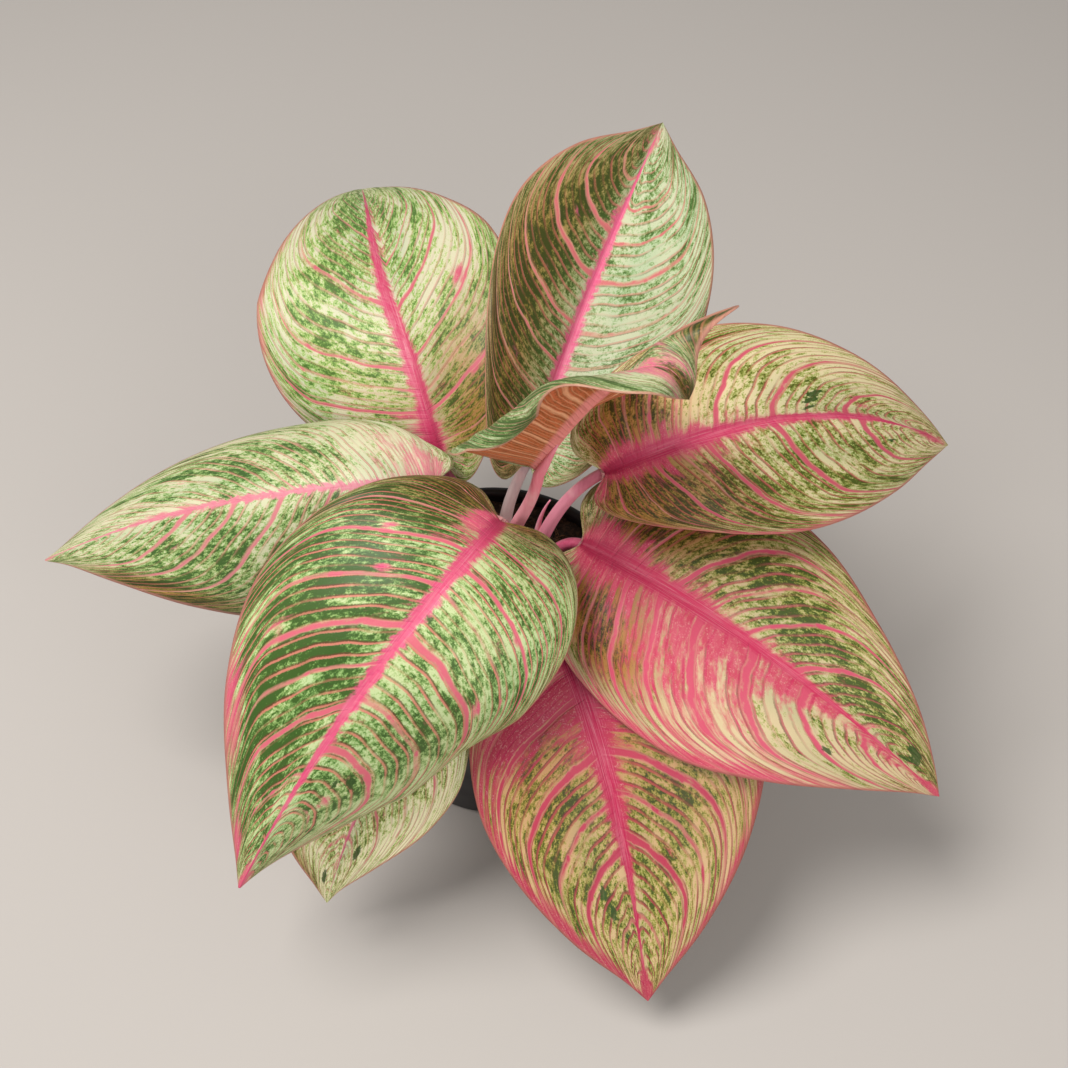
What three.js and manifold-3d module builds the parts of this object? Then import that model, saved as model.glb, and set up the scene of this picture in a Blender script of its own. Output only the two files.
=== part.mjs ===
// Potted Chinese evergreen: nine mottled leaves on pink stalks, a short cane, soil and a round grower's pot.
// Millimetres, +Z up, the middle of the pot's foot at the origin, the front of the plant towards -Y.
import * as THREE from "three";
import { mergeVertices } from "three/addons/utils/BufferGeometryUtils.js";
import Module from "manifold-3d";

// Pot
const POT_HEIGHT = 105;
const POT_RIM_RADIUS = 57.5;
const POT_FOOT_RADIUS = 42;
const POT_WALL = 2;
const POT_FLOOR = 3;
const POT_BAND_DROP = 14;
const POT_BAND_OUT = 2;
const DRAIN_RADIUS = 3.5;
const DRAIN_RING = 27;
const DRAIN_COUNT = 6;
const POT_SIDES = 48;

// Soil: its height at the wall, and how much it rises towards the middle (here it sinks, round the cane)
const SOIL_TOP = 101;
const SOIL_MOUND = -6;
const SOIL_BOTTOM = 8;
const SOIL_GAP = 0.5;

// Cane
const CANE_X = 4;
const CANE_Y = -2;
const CANE_RADIUS = 8.2;
const CANE_BURIED = 34;
const CANE_TOP = 112;
const CANE_GAP = 0.4;

// Leaves
const BLADE_THICK = 0.8;
const RIB_HEIGHT = 1.6;
const RIB_HALF_WIDTH = 3;
const BLADE_ROWS = 18;
const STALK_RING = 12.2;
const STALK_FOOT_Z = 97.6;
const STALK_FOOT_RADIUS = 3.6;
const STALK_NECK_RADIUS = 2.1;
const STALK_GAP = 0.5;
const NECK_BACK = 0.6;
const NECK_BELOW = 2.6;
const NECK_BEND = 16;
const TONGUE_RADIUS = 2;
const STALK_SIDES = 12;
const STALK_RINGS = 12;

// Shares across a half blade, midrib to margin
const ACROSS = [-1, -0.9, -0.76, -0.6, -0.44, -0.28, -0.13, -0.05, 0, 0.05, 0.13, 0.28, 0.44, 0.6, 0.76, 0.9, 1];

// Where each vein leaves the midrib and where it meets the margin, as shares of the blade's length
const VEIN_ROOT = [0, 0.002, 0.01, 0.035, 0.085, 0.17, 0.3, 0.48, 0.71, 1];
const VEIN_END = [0, -0.045, -0.01, 0.11, 0.27, 0.45, 0.625, 0.8, 0.925, 1];

// Half widths along the same veins, as shares of the half width
const FULL = [0.03, 0.34, 0.64, 0.88, 0.99, 0.97, 0.8, 0.49, 0.17, 0.006];

// Each leaf: spine in mm, the way its upper face looks at base and tip, half widths left and right,
// then angles in degrees left and right of the midrib at equal steps from base to tip.
const LEAVES = [
  {
    name: "front_left",
    spine: [[6, -22, 172], [-12, -63, 188], [-52, -89, 149], [-92, -114, 70]],
    face: [[0, -0.6, 0.9], [-0.3, -0.8, 0.6]],
    width: [58, 61],
    fold: [[8, 4, -15, -60], [6]],
    curl: [[-45, -70, -60], [-40]],
    roll: [[0, 0, -20, -90], [0]],
    wave: [2, 1.5, 0],
    outline: [
      [0.03, 0.3, 0.59, 0.86, 0.97, 0.96, 0.88, 0.56, 0.18, 0.006],
      [0.03, 0.24, 0.48, 0.76, 0.94, 0.97, 0.74, 0.38, 0.13, 0.006],
    ],
    foot: 260,
    rise: 30,
  },
  {
    name: "left",
    spine: [[-17, -5, 174], [-44, -15, 185], [-109, -5, 171], [-180, 9, 113]],
    face: [[-0.1, -0.6, 0.8], [-0.4, -0.6, 0.8]],
    width: [49, 44],
    fold: [[-5], [-22]],
    curl: [[-35], [-45]],
    wave: [2, 1.5, 0],
    outline: [
      [0.03, 0.28, 0.54, 0.82, 0.98, 0.98, 0.76, 0.4, 0.13, 0.006],
      [0.03, 0.2, 0.42, 0.76, 0.97, 0.94, 0.68, 0.34, 0.1, 0.006],
    ],
    neck: [1.7, 3.2],
    foot: 178,
    rise: 30,
  },
  {
    name: "back_left",
    spine: [[-17, 14, 165], [-30, 36, 202], [-45, 101, 222], [-59, 174, 174]],
    face: [[0, -0.6, 0.9], [0, -0.1, 1]],
    width: [60, 52],
    fold: [[-28, 4, 10], [45, 10]],
    curl: [[-50, -25, -25], [-30]],
    wave: [2, 1.5, 0],
    outline: [
      [0.03, 0.3, 0.56, 0.86, 1, 0.95, 0.7, 0.36, 0.13, 0.006],
      [0.03, 0.14, 0.34, 0.66, 0.92, 0.86, 0.58, 0.32, 0.12, 0.006],
    ],
    neck: [1, 3.3],
    foot: 135,
    reach: [8, -3, -18],
    rise: 30,
  },
  {
    name: "back_right",
    spine: [[15, 8, 171], [26, 24, 203], [45, 77, 219], [70, 143, 229]],
    face: [[0, -0.7, 0.8], [0, -0.5, 0.9]],
    width: [44, 45],
    fold: [[40, 15], [-15, 10, 10]],
    curl: [[-25], [120, -20, -20]],
    wave: [2, 1.5, 0],
    outline: [
      [0.03, 0.16, 0.34, 0.56, 0.78, 0.92, 0.9, 0.62, 0.22, 0.006],
      [0.03, 0.16, 0.38, 0.7, 0.92, 1, 0.9, 0.62, 0.22, 0.006],
    ],
    neck: [0.7, 2.9],
    foot: 85,
    reach: [-10, -3, -24],
    rise: 30,
  },
  {
    name: "right",
    spine: [[43, -12, 187], [71, -18, 212], [127, 19, 204], [184, 41, 147]],
    face: [[0.2, -0.6, 0.8], [0.6, -0.6, 0.6]],
    width: [38, 42],
    fold: [[12], [12]],
    curl: [[-35], [-20]],
    wave: [2, 1.5, 0],
    outline: [
      [0.03, 0.3, 0.58, 0.86, 1, 0.9, 0.62, 0.3, 0.11, 0.006],
      [0.03, 0.18, 0.38, 0.68, 0.92, 1, 0.88, 0.6, 0.24, 0.006],
    ],
    neck: [0.9, 2.9],
    foot: 32,
    reach: [-20, 5, -18],
    tongue: [[19, 2, 124], [18, 4, 136], [20, 3, 148], [24, 1, 158]],
    rise: 18,
  },
  {
    name: "front_right",
    spine: [[36, -10, 146], [78, -40, 150], [124, -65, 128], [175, -76, 72]],
    face: [[0.2, -0.6, 0.8], [0.3, -0.8, 0.5]],
    width: [50, 53],
    fold: [[10], [12]],
    curl: [[-35], [-35]],
    wave: [2, 1.5, 0],
    outline: [
      [0.03, 0.3, 0.6, 0.9, 1.03, 0.96, 0.69, 0.4, 0.16, 0.006],
      [0.03, 0.28, 0.54, 0.82, 0.97, 0.96, 0.72, 0.38, 0.13, 0.006],
    ],
    foot: 336,
    rise: 20,
  },
  {
    name: "front",
    spine: [[24, -30, 128], [44, -72, 112], [54, -106, 76], [62, -136, 20]],
    face: [[0.1, -0.7, 0.7], [0, -0.8, 0.5]],
    width: [66, 53],
    fold: [[12], [12]],
    curl: [[-35], [-35]],
    wave: [2, 1.5, 0],
    outline: [
      [0.03, 0.34, 0.64, 0.9, 1, 0.94, 0.72, 0.4, 0.14, 0.006],
      [0.03, 0.26, 0.5, 0.74, 0.92, 0.96, 0.8, 0.49, 0.17, 0.006],
    ],
    foot: 299,
    rise: 14,
  },
  {
    name: "low_left",
    spine: [[-9, -28, 122], [-27, -63, 118], [-49, -84, 88], [-65, -99, 29]],
    face: [[0, -0.7, 0.7], [0, -0.9, 0.4]],
    width: [41, 46],
    fold: [[12], [12]],
    curl: [[-35], [-35]],
    wave: [2, 1.5, 0],
    outline: [
      [0.03, 0.16, 0.3, 0.44, 0.62, 0.78, 0.68, 0.36, 0.11, 0.006],
      [0.03, 0.3, 0.56, 0.8, 0.92, 0.94, 0.8, 0.49, 0.17, 0.006],
    ],
    neck: [0.8, 2.8],
    foot: 220,
    rise: 12,
  },
  {
    name: "centre",
    spine: [[19, -16, 194], [39, -31, 250], [58, -41, 281], [66, -42, 252]],
    face: [[-0.3, 0.8, 0.1], [-0.25, 0.7, 0.4], [0.3, -0.6, 0.7]],
    width: [34, 38],
    fold: [[70, 5, 40], [15, 22, 22]],
    curl: [[10, -10, -20], [-5, -35, 0]],
    roll: [[0], [0, -60, -320, -220, -60]],
    wave: [0, 1, 0],
    ends: [0, 0.03, 0.09, 0.17, 0.29, 0.46, 0.63, 0.8, 0.925, 1],
    outline: [
      [0.03, 0.34, 0.64, 0.88, 1, 0.9, 0.66, 0.4, 0.16, 0.006],
      [0.03, 0.45, 0.84, 1.04, 1, 0.92, 0.76, 0.5, 0.2, 0.006],
    ],
    flick: [0.78, 1, 0.045, 25, 2, 7],
    foot: null,
    reach: [-3, 2, -26],
    rise: 30,
  },
];

const BLADE_COLOURS = {
  front_left: "#8fa878",
  left: "#aebd92",
  back_left: "#a9c08a",
  back_right: "#8f9c6c",
  right: "#b9b386",
  front_right: "#c4988a",
  front: "#ac7f66",
  low_left: "#a3ab7c",
  centre: "#b08a64",
};
const STALK_COLOURS = {
  front_left: "#d9788f",
  left: "#dc8b9c",
  back_left: "#c97588",
  back_right: "#cfb6b6",
  right: "#dd8296",
  front_right: "#d0607f",
  front: "#b8485f",
  low_left: "#c77f85",
  centre: "#e39aa6",
};

const root = new THREE.Group();
root.name = "potted_chinese_evergreen";

function addMesh(name, geometry, colour, roughness) {
  const material = new THREE.MeshStandardMaterial({ color: colour, roughness: roughness, metalness: 0 });
  const mesh = new THREE.Mesh(geometry, material);
  mesh.name = name;
  root.add(mesh);
  return mesh;
}

// Value at share u of a row of evenly spaced values, joined smoothly
function smooth(values, u) {
  const last = values.length - 1;
  const place = Math.min(Math.max(u, 0), 1) * last;
  const i = Math.min(Math.floor(place), last - 1);
  const w = place - i;
  const b = values[i];
  const c = values[i + 1];
  const a = i > 0 ? values[i - 1] : 2 * b - c;
  const d = i < last - 1 ? values[i + 2] : 2 * c - b;
  const second = 2 * a - 5 * b + 4 * c - d;
  const third = 3 * b - a - 3 * c + d;
  return 0.5 * (2 * b + (c - a) * w + second * w * w + third * w * w * w);
}

// Value at share k of a row of evenly spaced values, joined by straight lines
function straight(values, k) {
  if (values.length === 1) return values[0];
  const place = Math.min(Math.max(k, 0), 1) * (values.length - 1);
  const i = Math.min(Math.floor(place), values.length - 2);
  return values[i] + (values[i + 1] - values[i]) * (place - i);
}

function bezierPoint(c, t) {
  const s = 1 - t;
  const w = [s * s * s, 3 * s * s * t, 3 * s * t * t, t * t * t];
  const p = new THREE.Vector3();
  for (let i = 0; i < 4; i++) p.addScaledVector(new THREE.Vector3(...c[i]), w[i]);
  return p;
}

function bezierSlope(c, t) {
  const s = 1 - t;
  const w = [-3 * s * s, 3 * s * s - 6 * s * t, 6 * s * t - 3 * t * t, 3 * t * t];
  const p = new THREE.Vector3();
  for (let i = 0; i < 4; i++) p.addScaledVector(new THREE.Vector3(...c[i]), w[i]);
  return p.normalize();
}

// A leaf's spine measured along its own length
function measuredSpine(control) {
  const steps = 200;
  const lengths = [0];
  let before = bezierPoint(control, 0);
  for (let i = 1; i <= steps; i++) {
    const p = bezierPoint(control, i / steps);
    lengths.push(lengths[i - 1] + p.distanceTo(before));
    before = p;
  }
  const total = lengths[steps];
  function at(x) {
    const held = Math.min(Math.max(x, 0), total);
    let i = 1;
    while (i < steps && lengths[i] < held) i++;
    const t = (i - 1 + (held - lengths[i - 1]) / (lengths[i] - lengths[i - 1])) / steps;
    const slope = bezierSlope(control, t);
    const point = bezierPoint(control, t).addScaledVector(slope, x - held);
    return { point, slope };
  }
  return { total, at };
}

// Flat place on the blade: vein station u from base to tip, share t across (-1 right margin, 1 left margin)
function flatPlace(leaf, total, u, t) {
  const side = t >= 0 ? 0 : 1;
  const width = leaf.width[side];
  const endX = smooth(leaf.ends || VEIN_END, u) * total;
  const endY = smooth(leaf.outline ? leaf.outline[side] : FULL, u) * width;
  const rootX = smooth(VEIN_ROOT, u) * total;
  const a = Math.abs(t);
  const bendX = rootX + 0.3 * (endX - rootX);
  const bendY = 0.62 * endY;
  const x = (1 - a) * (1 - a) * rootX + 2 * (1 - a) * a * bendX + a * a * endX;
  const y = 2 * (1 - a) * a * bendY + a * a * endY;
  return { x, y, width, side };
}

// The same place on the bent blade
function bladePlace(leaf, spine, u, t) {
  const flat = flatPlace(leaf, spine.total, u, t);
  const { point, slope } = spine.at(flat.x);
  const k = Math.min(Math.max(flat.x / spine.total, 0), 1);
  const up = new THREE.Vector3(
    straight(leaf.face.map((f) => f[0]), k),
    straight(leaf.face.map((f) => f[1]), k),
    straight(leaf.face.map((f) => f[2]), k),
  );
  up.addScaledVector(slope, -up.dot(slope)).normalize();
  const across = new THREE.Vector3().crossVectors(up, slope);
  const rad = Math.PI / 180;
  const fold = straight(leaf.fold[flat.side], k) * rad;
  const curl = straight(leaf.curl[flat.side], k) * rad;
  const roll = leaf.roll ? straight(leaf.roll[flat.side], k) * rad : 0;
  const a = flat.y / flat.width;
  const steps = 14;
  let out = 0;
  let rise = 0;
  for (let i = 0; i < steps; i++) {
    const b = ((i + 0.5) / steps) * a;
    const late = Math.max(0, b - 0.5);
    const angle = fold + curl * b + roll * late * late * 4;
    out += (Math.cos(angle) * a) / steps;
    rise += (Math.sin(angle) * a) / steps;
  }
  const [height, count, shift] = leaf.wave;
  const phase = 2 * Math.PI * (count * k + shift) + (flat.side ? 1.7 : 0);
  const lift = rise * flat.width + height * Math.sin(phase) * a * a;
  point.addScaledVector(across, (flat.side ? -1 : 1) * out * flat.width);
  point.addScaledVector(up, lift);
  if (leaf.flick) {
    const [middle, way, spread, dx, dy, dz] = leaf.flick;
    const near = (u - middle) / spread;
    const share = Math.max(0, t * way);
    point.addScaledVector(new THREE.Vector3(dx, dy, dz), Math.exp(-near * near) * share * share);
  }
  return { point, x: flat.x, y: flat.y };
}

// A closed solid between two grids of points that meet along one rim
function slab(top, bottom) {
  const rows = top.length;
  const cols = top[0].length;
  const vertices = [];
  const index = [];
  for (const face of [top, bottom]) {
    for (const row of face) {
      for (const p of row) vertices.push(p.x, p.y, p.z);
    }
  }
  const t = (i, j) => i * cols + j;
  const b = (i, j) => rows * cols + i * cols + j;
  for (let i = 0; i < rows - 1; i++) {
    for (let j = 0; j < cols - 1; j++) {
      index.push(t(i, j), t(i + 1, j), t(i + 1, j + 1));
      index.push(t(i, j), t(i + 1, j + 1), t(i, j + 1));
      index.push(b(i, j), b(i + 1, j + 1), b(i + 1, j));
      index.push(b(i, j), b(i, j + 1), b(i + 1, j + 1));
    }
  }
  const rim = [];
  for (let j = 0; j < cols - 1; j++) rim.push([0, j]);
  for (let i = 0; i < rows - 1; i++) rim.push([i, cols - 1]);
  for (let j = cols - 1; j > 0; j--) rim.push([rows - 1, j]);
  for (let i = rows - 1; i > 0; i--) rim.push([i, 0]);
  for (let k = 0; k < rim.length; k++) {
    const [i0, j0] = rim[k];
    const [i1, j1] = rim[(k + 1) % rim.length];
    index.push(t(i0, j0), t(i1, j1), b(i1, j1));
    index.push(t(i0, j0), b(i1, j1), b(i0, j0));
  }
  const g = new THREE.BufferGeometry();
  g.setAttribute("position", new THREE.Float32BufferAttribute(vertices, 3));
  g.setIndex(index);
  return g;
}

function bladeGeometry(leaf) {
  const spine = measuredSpine(leaf.spine);
  const rows = leaf.rows || BLADE_ROWS;
  const places = [];
  for (let i = 0; i <= rows; i++) {
    const u = 1 - Math.pow(1 - i / rows, 1.5);
    places.push(ACROSS.map((t) => bladePlace(leaf, spine, u, t)));
  }
  const cols = ACROSS.length;
  const top = [];
  const bottom = [];
  for (let i = 0; i <= rows; i++) {
    const topRow = [];
    const bottomRow = [];
    for (let j = 0; j < cols; j++) {
      const i0 = Math.max(i - 1, 0);
      const i1 = Math.min(i + 1, rows);
      const j0 = Math.max(j - 1, 0);
      const j1 = Math.min(j + 1, cols - 1);
      const along = places[i1][j].point.clone().sub(places[i0][j].point);
      if (i === 0) along.copy(bezierSlope(leaf.spine, 0));
      if (i === rows) along.copy(bezierSlope(leaf.spine, 1));
      const over = places[i][j1].point.clone().sub(places[i][j0].point);
      if (i === 0) over.copy(places[1][j1].point).sub(places[1][j0].point);
      if (i === rows) over.copy(places[rows - 1][j1].point).sub(places[rows - 1][j0].point);
      const normal = new THREE.Vector3().crossVectors(along, over).normalize();
      const place = places[i][j];
      const share = Math.min(Math.max(place.x / spine.total, 0), 1);
      const near = Math.max(0, 1 - place.y / RIB_HALF_WIDTH);
      const rib = RIB_HEIGHT * Math.pow(1 - share, 0.7) * near;
      topRow.push(place.point.clone().addScaledVector(normal, BLADE_THICK / 2));
      bottomRow.push(place.point.clone().addScaledVector(normal, -BLADE_THICK / 2 - rib));
    }
    top.push(topRow);
    bottom.push(bottomRow);
  }
  return slab(top, bottom);
}

// A round stalk along a curve, closed at both ends
function stalkGeometry(control, footRadius, neckRadius, rings) {
  const vertices = [];
  const index = [];
  let side = new THREE.Vector3(0, 1, 0);
  for (let i = 0; i <= rings; i++) {
    const t = i / rings;
    const p = bezierPoint(control, t);
    const d = bezierSlope(control, t);
    side.addScaledVector(d, -side.dot(d)).normalize();
    const other = new THREE.Vector3().crossVectors(d, side);
    const r = neckRadius + (footRadius - neckRadius) * Math.pow(1 - t, 1.6);
    for (let j = 0; j < STALK_SIDES; j++) {
      const a = (j / STALK_SIDES) * 2 * Math.PI;
      const q = p.clone().addScaledVector(side, r * Math.cos(a)).addScaledVector(other, r * Math.sin(a));
      vertices.push(q.x, q.y, q.z);
    }
    side = side.clone();
  }
  const n = STALK_SIDES;
  for (let i = 0; i < rings; i++) {
    for (let j = 0; j < n; j++) {
      const k = (j + 1) % n;
      index.push(i * n + j, i * n + k, (i + 1) * n + k);
      index.push(i * n + j, (i + 1) * n + k, (i + 1) * n + j);
    }
  }
  for (let j = 1; j < n - 1; j++) {
    index.push(0, j + 1, j);
    const e = rings * n;
    index.push(e, e + j, e + j + 1);
  }
  const g = new THREE.BufferGeometry();
  g.setAttribute("position", new THREE.Float32BufferAttribute(vertices, 3));
  g.setIndex(index);
  return g;
}

function latheAboutZ(profile, sides) {
  const g = new THREE.LatheGeometry(profile.map(([r, z]) => new THREE.Vector2(r, z)), sides);
  g.rotateX(Math.PI / 2);
  return g;
}

function potRadius(z) {
  return POT_FOOT_RADIUS + ((POT_RIM_RADIUS - POT_BAND_OUT - POT_FOOT_RADIUS) * z) / POT_HEIGHT;
}

const wasm = await Module();
wasm.setup();

function solid(geometry) {
  const bare = new THREE.BufferGeometry();
  bare.setAttribute("position", geometry.getAttribute("position"));
  if (geometry.index) bare.setIndex(geometry.index);
  const merged = mergeVertices(bare, 1e-4);
  return new wasm.Manifold(
    new wasm.Mesh({
      numProp: 3,
      vertProperties: new Float32Array(merged.getAttribute("position").array),
      triVerts: new Uint32Array(merged.index.array),
    }),
  );
}

function geometryOf(manifold) {
  const mesh = manifold.getMesh();
  const g = new THREE.BufferGeometry();
  g.setAttribute("position", new THREE.BufferAttribute(new Float32Array(mesh.vertProperties), 3));
  g.setIndex(new THREE.BufferAttribute(new Uint32Array(mesh.triVerts), 1));
  return g;
}

// Pot: tapered wall, a band under the rim, a foot ring, drain holes away from the middle
const bandZ = POT_HEIGHT - POT_BAND_DROP;
const potProfile = [
  [0, 0],
  [POT_FOOT_RADIUS - 1.5, 0],
  [POT_FOOT_RADIUS, 1.5],
  [potRadius(bandZ), bandZ],
  [POT_RIM_RADIUS - 0.6, bandZ + 1],
  [POT_RIM_RADIUS, POT_HEIGHT - 1],
  [POT_RIM_RADIUS - 1, POT_HEIGHT],
  [POT_RIM_RADIUS - POT_WALL - 0.6, POT_HEIGHT],
  [potRadius(POT_HEIGHT) - POT_WALL, POT_HEIGHT - 1.5],
  [potRadius(POT_FLOOR) - POT_WALL - 1, POT_FLOOR + 1],
  [potRadius(POT_FLOOR) - POT_WALL - 3, POT_FLOOR],
  [0, POT_FLOOR],
];
let potSolid = solid(latheAboutZ(potProfile, POT_SIDES));
if (potSolid.volume() < 0) throw new Error("pot profile runs the wrong way");
for (let i = 0; i < DRAIN_COUNT; i++) {
  const a = (i / DRAIN_COUNT) * 2 * Math.PI + 0.3;
  const drill = new THREE.CylinderGeometry(DRAIN_RADIUS, DRAIN_RADIUS, 12, 20);
  drill.rotateX(Math.PI / 2);
  drill.translate(DRAIN_RING * Math.cos(a), DRAIN_RING * Math.sin(a), 1);
  potSolid = potSolid.subtract(solid(drill));
}
addMesh("pot", geometryOf(potSolid), "#1d1b1b", 0.5);

// Soil: fills the pot to just under the rim, with a shallow dip round the plant and a plain hole for the cane
const soilRings = 8;
const soilProfile = [[0, SOIL_BOTTOM], [potRadius(SOIL_BOTTOM) - POT_WALL - SOIL_GAP - 1.5, SOIL_BOTTOM]];
const soilEdge = potRadius(SOIL_TOP) - POT_WALL - SOIL_GAP;
for (let i = 0; i <= soilRings; i++) {
  const share = 1 - i / soilRings;
  const height = SOIL_TOP + SOIL_MOUND * (1 - share * share) + (i > 0 && i < soilRings ? 0.5 * Math.sin(i * 2.3) : 0);
  soilProfile.push([soilEdge * share, height]);
}
const boredProfile = [
  [0, SOIL_TOP - CANE_BURIED - CANE_GAP],
  [CANE_RADIUS + CANE_GAP, SOIL_TOP - CANE_BURIED - CANE_GAP],
  [CANE_RADIUS + CANE_GAP, POT_HEIGHT + 30],
  [0, POT_HEIGHT + 30],
];
const bore = latheAboutZ(boredProfile, 32);
bore.translate(CANE_X, CANE_Y, 0);
const soilSolid = solid(latheAboutZ(soilProfile, 48)).subtract(solid(bore));
addMesh("soil", geometryOf(soilSolid), "#2b2320", 0.95);

// Cane with two shallow leaf-scar rings
const caneProfile = [
  [0, SOIL_TOP - CANE_BURIED],
  [CANE_RADIUS - 1, SOIL_TOP - CANE_BURIED],
  [CANE_RADIUS, SOIL_TOP - CANE_BURIED + 2],
  [CANE_RADIUS, CANE_TOP - 12],
  [CANE_RADIUS - 0.6, CANE_TOP - 11],
  [CANE_RADIUS, CANE_TOP - 10],
  [CANE_RADIUS - 0.4, CANE_TOP - 5],
  [CANE_RADIUS - 1.4, CANE_TOP - 4],
  [CANE_RADIUS - 1.2, CANE_TOP - 1],
  [CANE_RADIUS - 2.5, CANE_TOP],
  [0, CANE_TOP],
];
const cane = latheAboutZ(caneProfile, 28);
cane.translate(CANE_X, CANE_Y, 0);
addMesh("cane", cane, "#b98a86", 0.6);

// Leaves and their stalks
for (const leaf of LEAVES) {
  addMesh("blade_" + leaf.name, bladeGeometry(leaf), BLADE_COLOURS[leaf.name], 0.42);
  const base = new THREE.Vector3(...leaf.spine[0]);
  const slope = bezierSlope(leaf.spine, 0);
  const up = new THREE.Vector3(...leaf.face[0]);
  up.addScaledVector(slope, -up.dot(slope)).normalize();
  const [back, below] = leaf.neck || [NECK_BACK, NECK_BELOW];
  const neck = base.addScaledVector(slope, -back).addScaledVector(up, -below);
  const foot = new THREE.Vector3(CANE_X, CANE_Y, CANE_TOP + STALK_GAP);
  let outward = new THREE.Vector3(0, 0, 0);
  if (leaf.foot !== null) {
    const a = (leaf.foot * Math.PI) / 180;
    outward = new THREE.Vector3(Math.cos(a), Math.sin(a), 0);
    foot.addScaledVector(outward, STALK_RING);
    foot.z = STALK_FOOT_Z;
  }
  const first = foot.clone().addScaledVector(outward, 2);
  first.z += leaf.rise;
  const second = neck.clone().addScaledVector(slope, -NECK_BEND);
  second.z -= 3;
  if (leaf.reach) second.copy(neck).add(new THREE.Vector3(...leaf.reach));
  const control = [foot.toArray(), first.toArray(), second.toArray(), neck.toArray()];
  let geometry = stalkGeometry(control, STALK_FOOT_RADIUS, STALK_NECK_RADIUS, STALK_RINGS);
  if (leaf.tongue) {
    const tongue = stalkGeometry(leaf.tongue, TONGUE_RADIUS, 0.3, 5);
    geometry = geometryOf(solid(geometry).add(solid(tongue)));
  }
  addMesh("stalk_" + leaf.name, geometry, STALK_COLOURS[leaf.name], 0.45);
}

export default root;
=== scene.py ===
import math
import random

import bmesh
import bpy
import numpy as np
from mathutils import Matrix, Vector, noise


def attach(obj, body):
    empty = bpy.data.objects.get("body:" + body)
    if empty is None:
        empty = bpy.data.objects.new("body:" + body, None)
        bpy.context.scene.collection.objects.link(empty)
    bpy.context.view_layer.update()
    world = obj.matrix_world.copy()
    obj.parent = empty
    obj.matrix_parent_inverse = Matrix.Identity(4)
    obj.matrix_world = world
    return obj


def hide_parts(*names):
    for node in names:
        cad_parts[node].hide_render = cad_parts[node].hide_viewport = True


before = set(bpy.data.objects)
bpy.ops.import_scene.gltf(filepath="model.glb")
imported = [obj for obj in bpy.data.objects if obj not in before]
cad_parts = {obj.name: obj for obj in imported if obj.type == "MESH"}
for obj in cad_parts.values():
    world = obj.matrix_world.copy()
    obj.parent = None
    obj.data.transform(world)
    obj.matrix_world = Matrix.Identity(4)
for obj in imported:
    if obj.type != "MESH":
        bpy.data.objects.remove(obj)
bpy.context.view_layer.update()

MM = 0.001

# Pot, soil and cane, as in the solids
POT_HEIGHT = 105
POT_RIM_RADIUS = 57.5
POT_FOOT_RADIUS = 42
POT_WALL = 2
POT_FLOOR = 3
POT_BAND_DROP = 14
POT_BAND_OUT = 2
DRAIN_RADIUS = 3.5
DRAIN_RING = 27
DRAIN_COUNT = 6
DRAIN_TURN = 0.3
SOIL_TOP = 101
SOIL_MOUND = -6
SOIL_BOTTOM = 8
SOIL_GAP = 0.5
CANE_X = 4
CANE_Y = -2
CANE_RADIUS = 8.2
CANE_BURIED = 34
CANE_TOP = 112

# Leaves, as in the solids
LEAF_WAVE = (2, 1.5, 0)
BLADE_THICK = 0.8
RIB_HEIGHT = 1.6
RIB_HALF_WIDTH = 3
STALK_RING = 12.2
STALK_FOOT_Z = 97.6
STALK_FOOT_RADIUS = 3.6
STALK_NECK_RADIUS = 2.1
STALK_GAP = 0.5
NECK_BACK = 0.6
NECK_BELOW = 2.6
NECK_BEND = 16
BLADE_EDGE = 0.08
VEIN_ROOT = [0, 0.002, 0.01, 0.035, 0.085, 0.17, 0.3, 0.48, 0.71, 1]
VEIN_END = [0, -0.045, -0.01, 0.11, 0.27, 0.45, 0.625, 0.8, 0.925, 1]

# Fineness of the finished leaves
BLADE_ROWS = 200
BLADE_COLUMNS = 84
VEIN_PUFF = 0.42
RIB_GROOVE = 0.45
GROOVE_REACH = 1.8
EDGE_SHARE = 0.35
FINE_VEINS = 60
STALK_SIDES = 28
STALK_RINGS = 44
# How a stalk runs on under the blade: lengths ahead of the blade's base, with its radius there
STALK_RUN_ON = ((3.5, 1.9), (8, 1.5), (14, 1.0), (20, 0.5))
STALK_BELOW_FACE = 0.55
TONGUE_RINGS = 15
TONGUE_SIDES = 16
POT_STEPS = 144
SOIL_STEPS = 180
SOIL_RINGS = 58
WASHES = ("pink", "cream", "deep", "brown_and_shade", "blotch")

# Loose soil
CRUMB_COUNT = 420
CRUMB_REACH = 50
FIBRE_COUNT = 150
FIBRE_REACH = 46
FIBRE_LIMIT = 50.5
FIBRE_STEP = 1.6

# Colours that the leaves share
TONE_STEPS = (0.3, 0.44, 0.57, 0.7)
COOL_TINT = "#d4ece4"
# Brown tint and fine brown: ground and fine veins under the brown washes, darker and warmer, partly the leaf's
# own reddish-brown and partly painted shade
BROWN_AND_SHADE_TINT = "#cc9c6a"
FINE_BROWN_AND_SHADE = "#a24e3a"
FLUSH_PALE = "#f4c4b8"
HALO_TAN = "#d2b48c"
RIB_PALE = "#eab0b6"
RIB_FOOT = "#a01842"
MARK_GREEN = "#2c4a16"
RIM_TAN = "#c09472"

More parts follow.
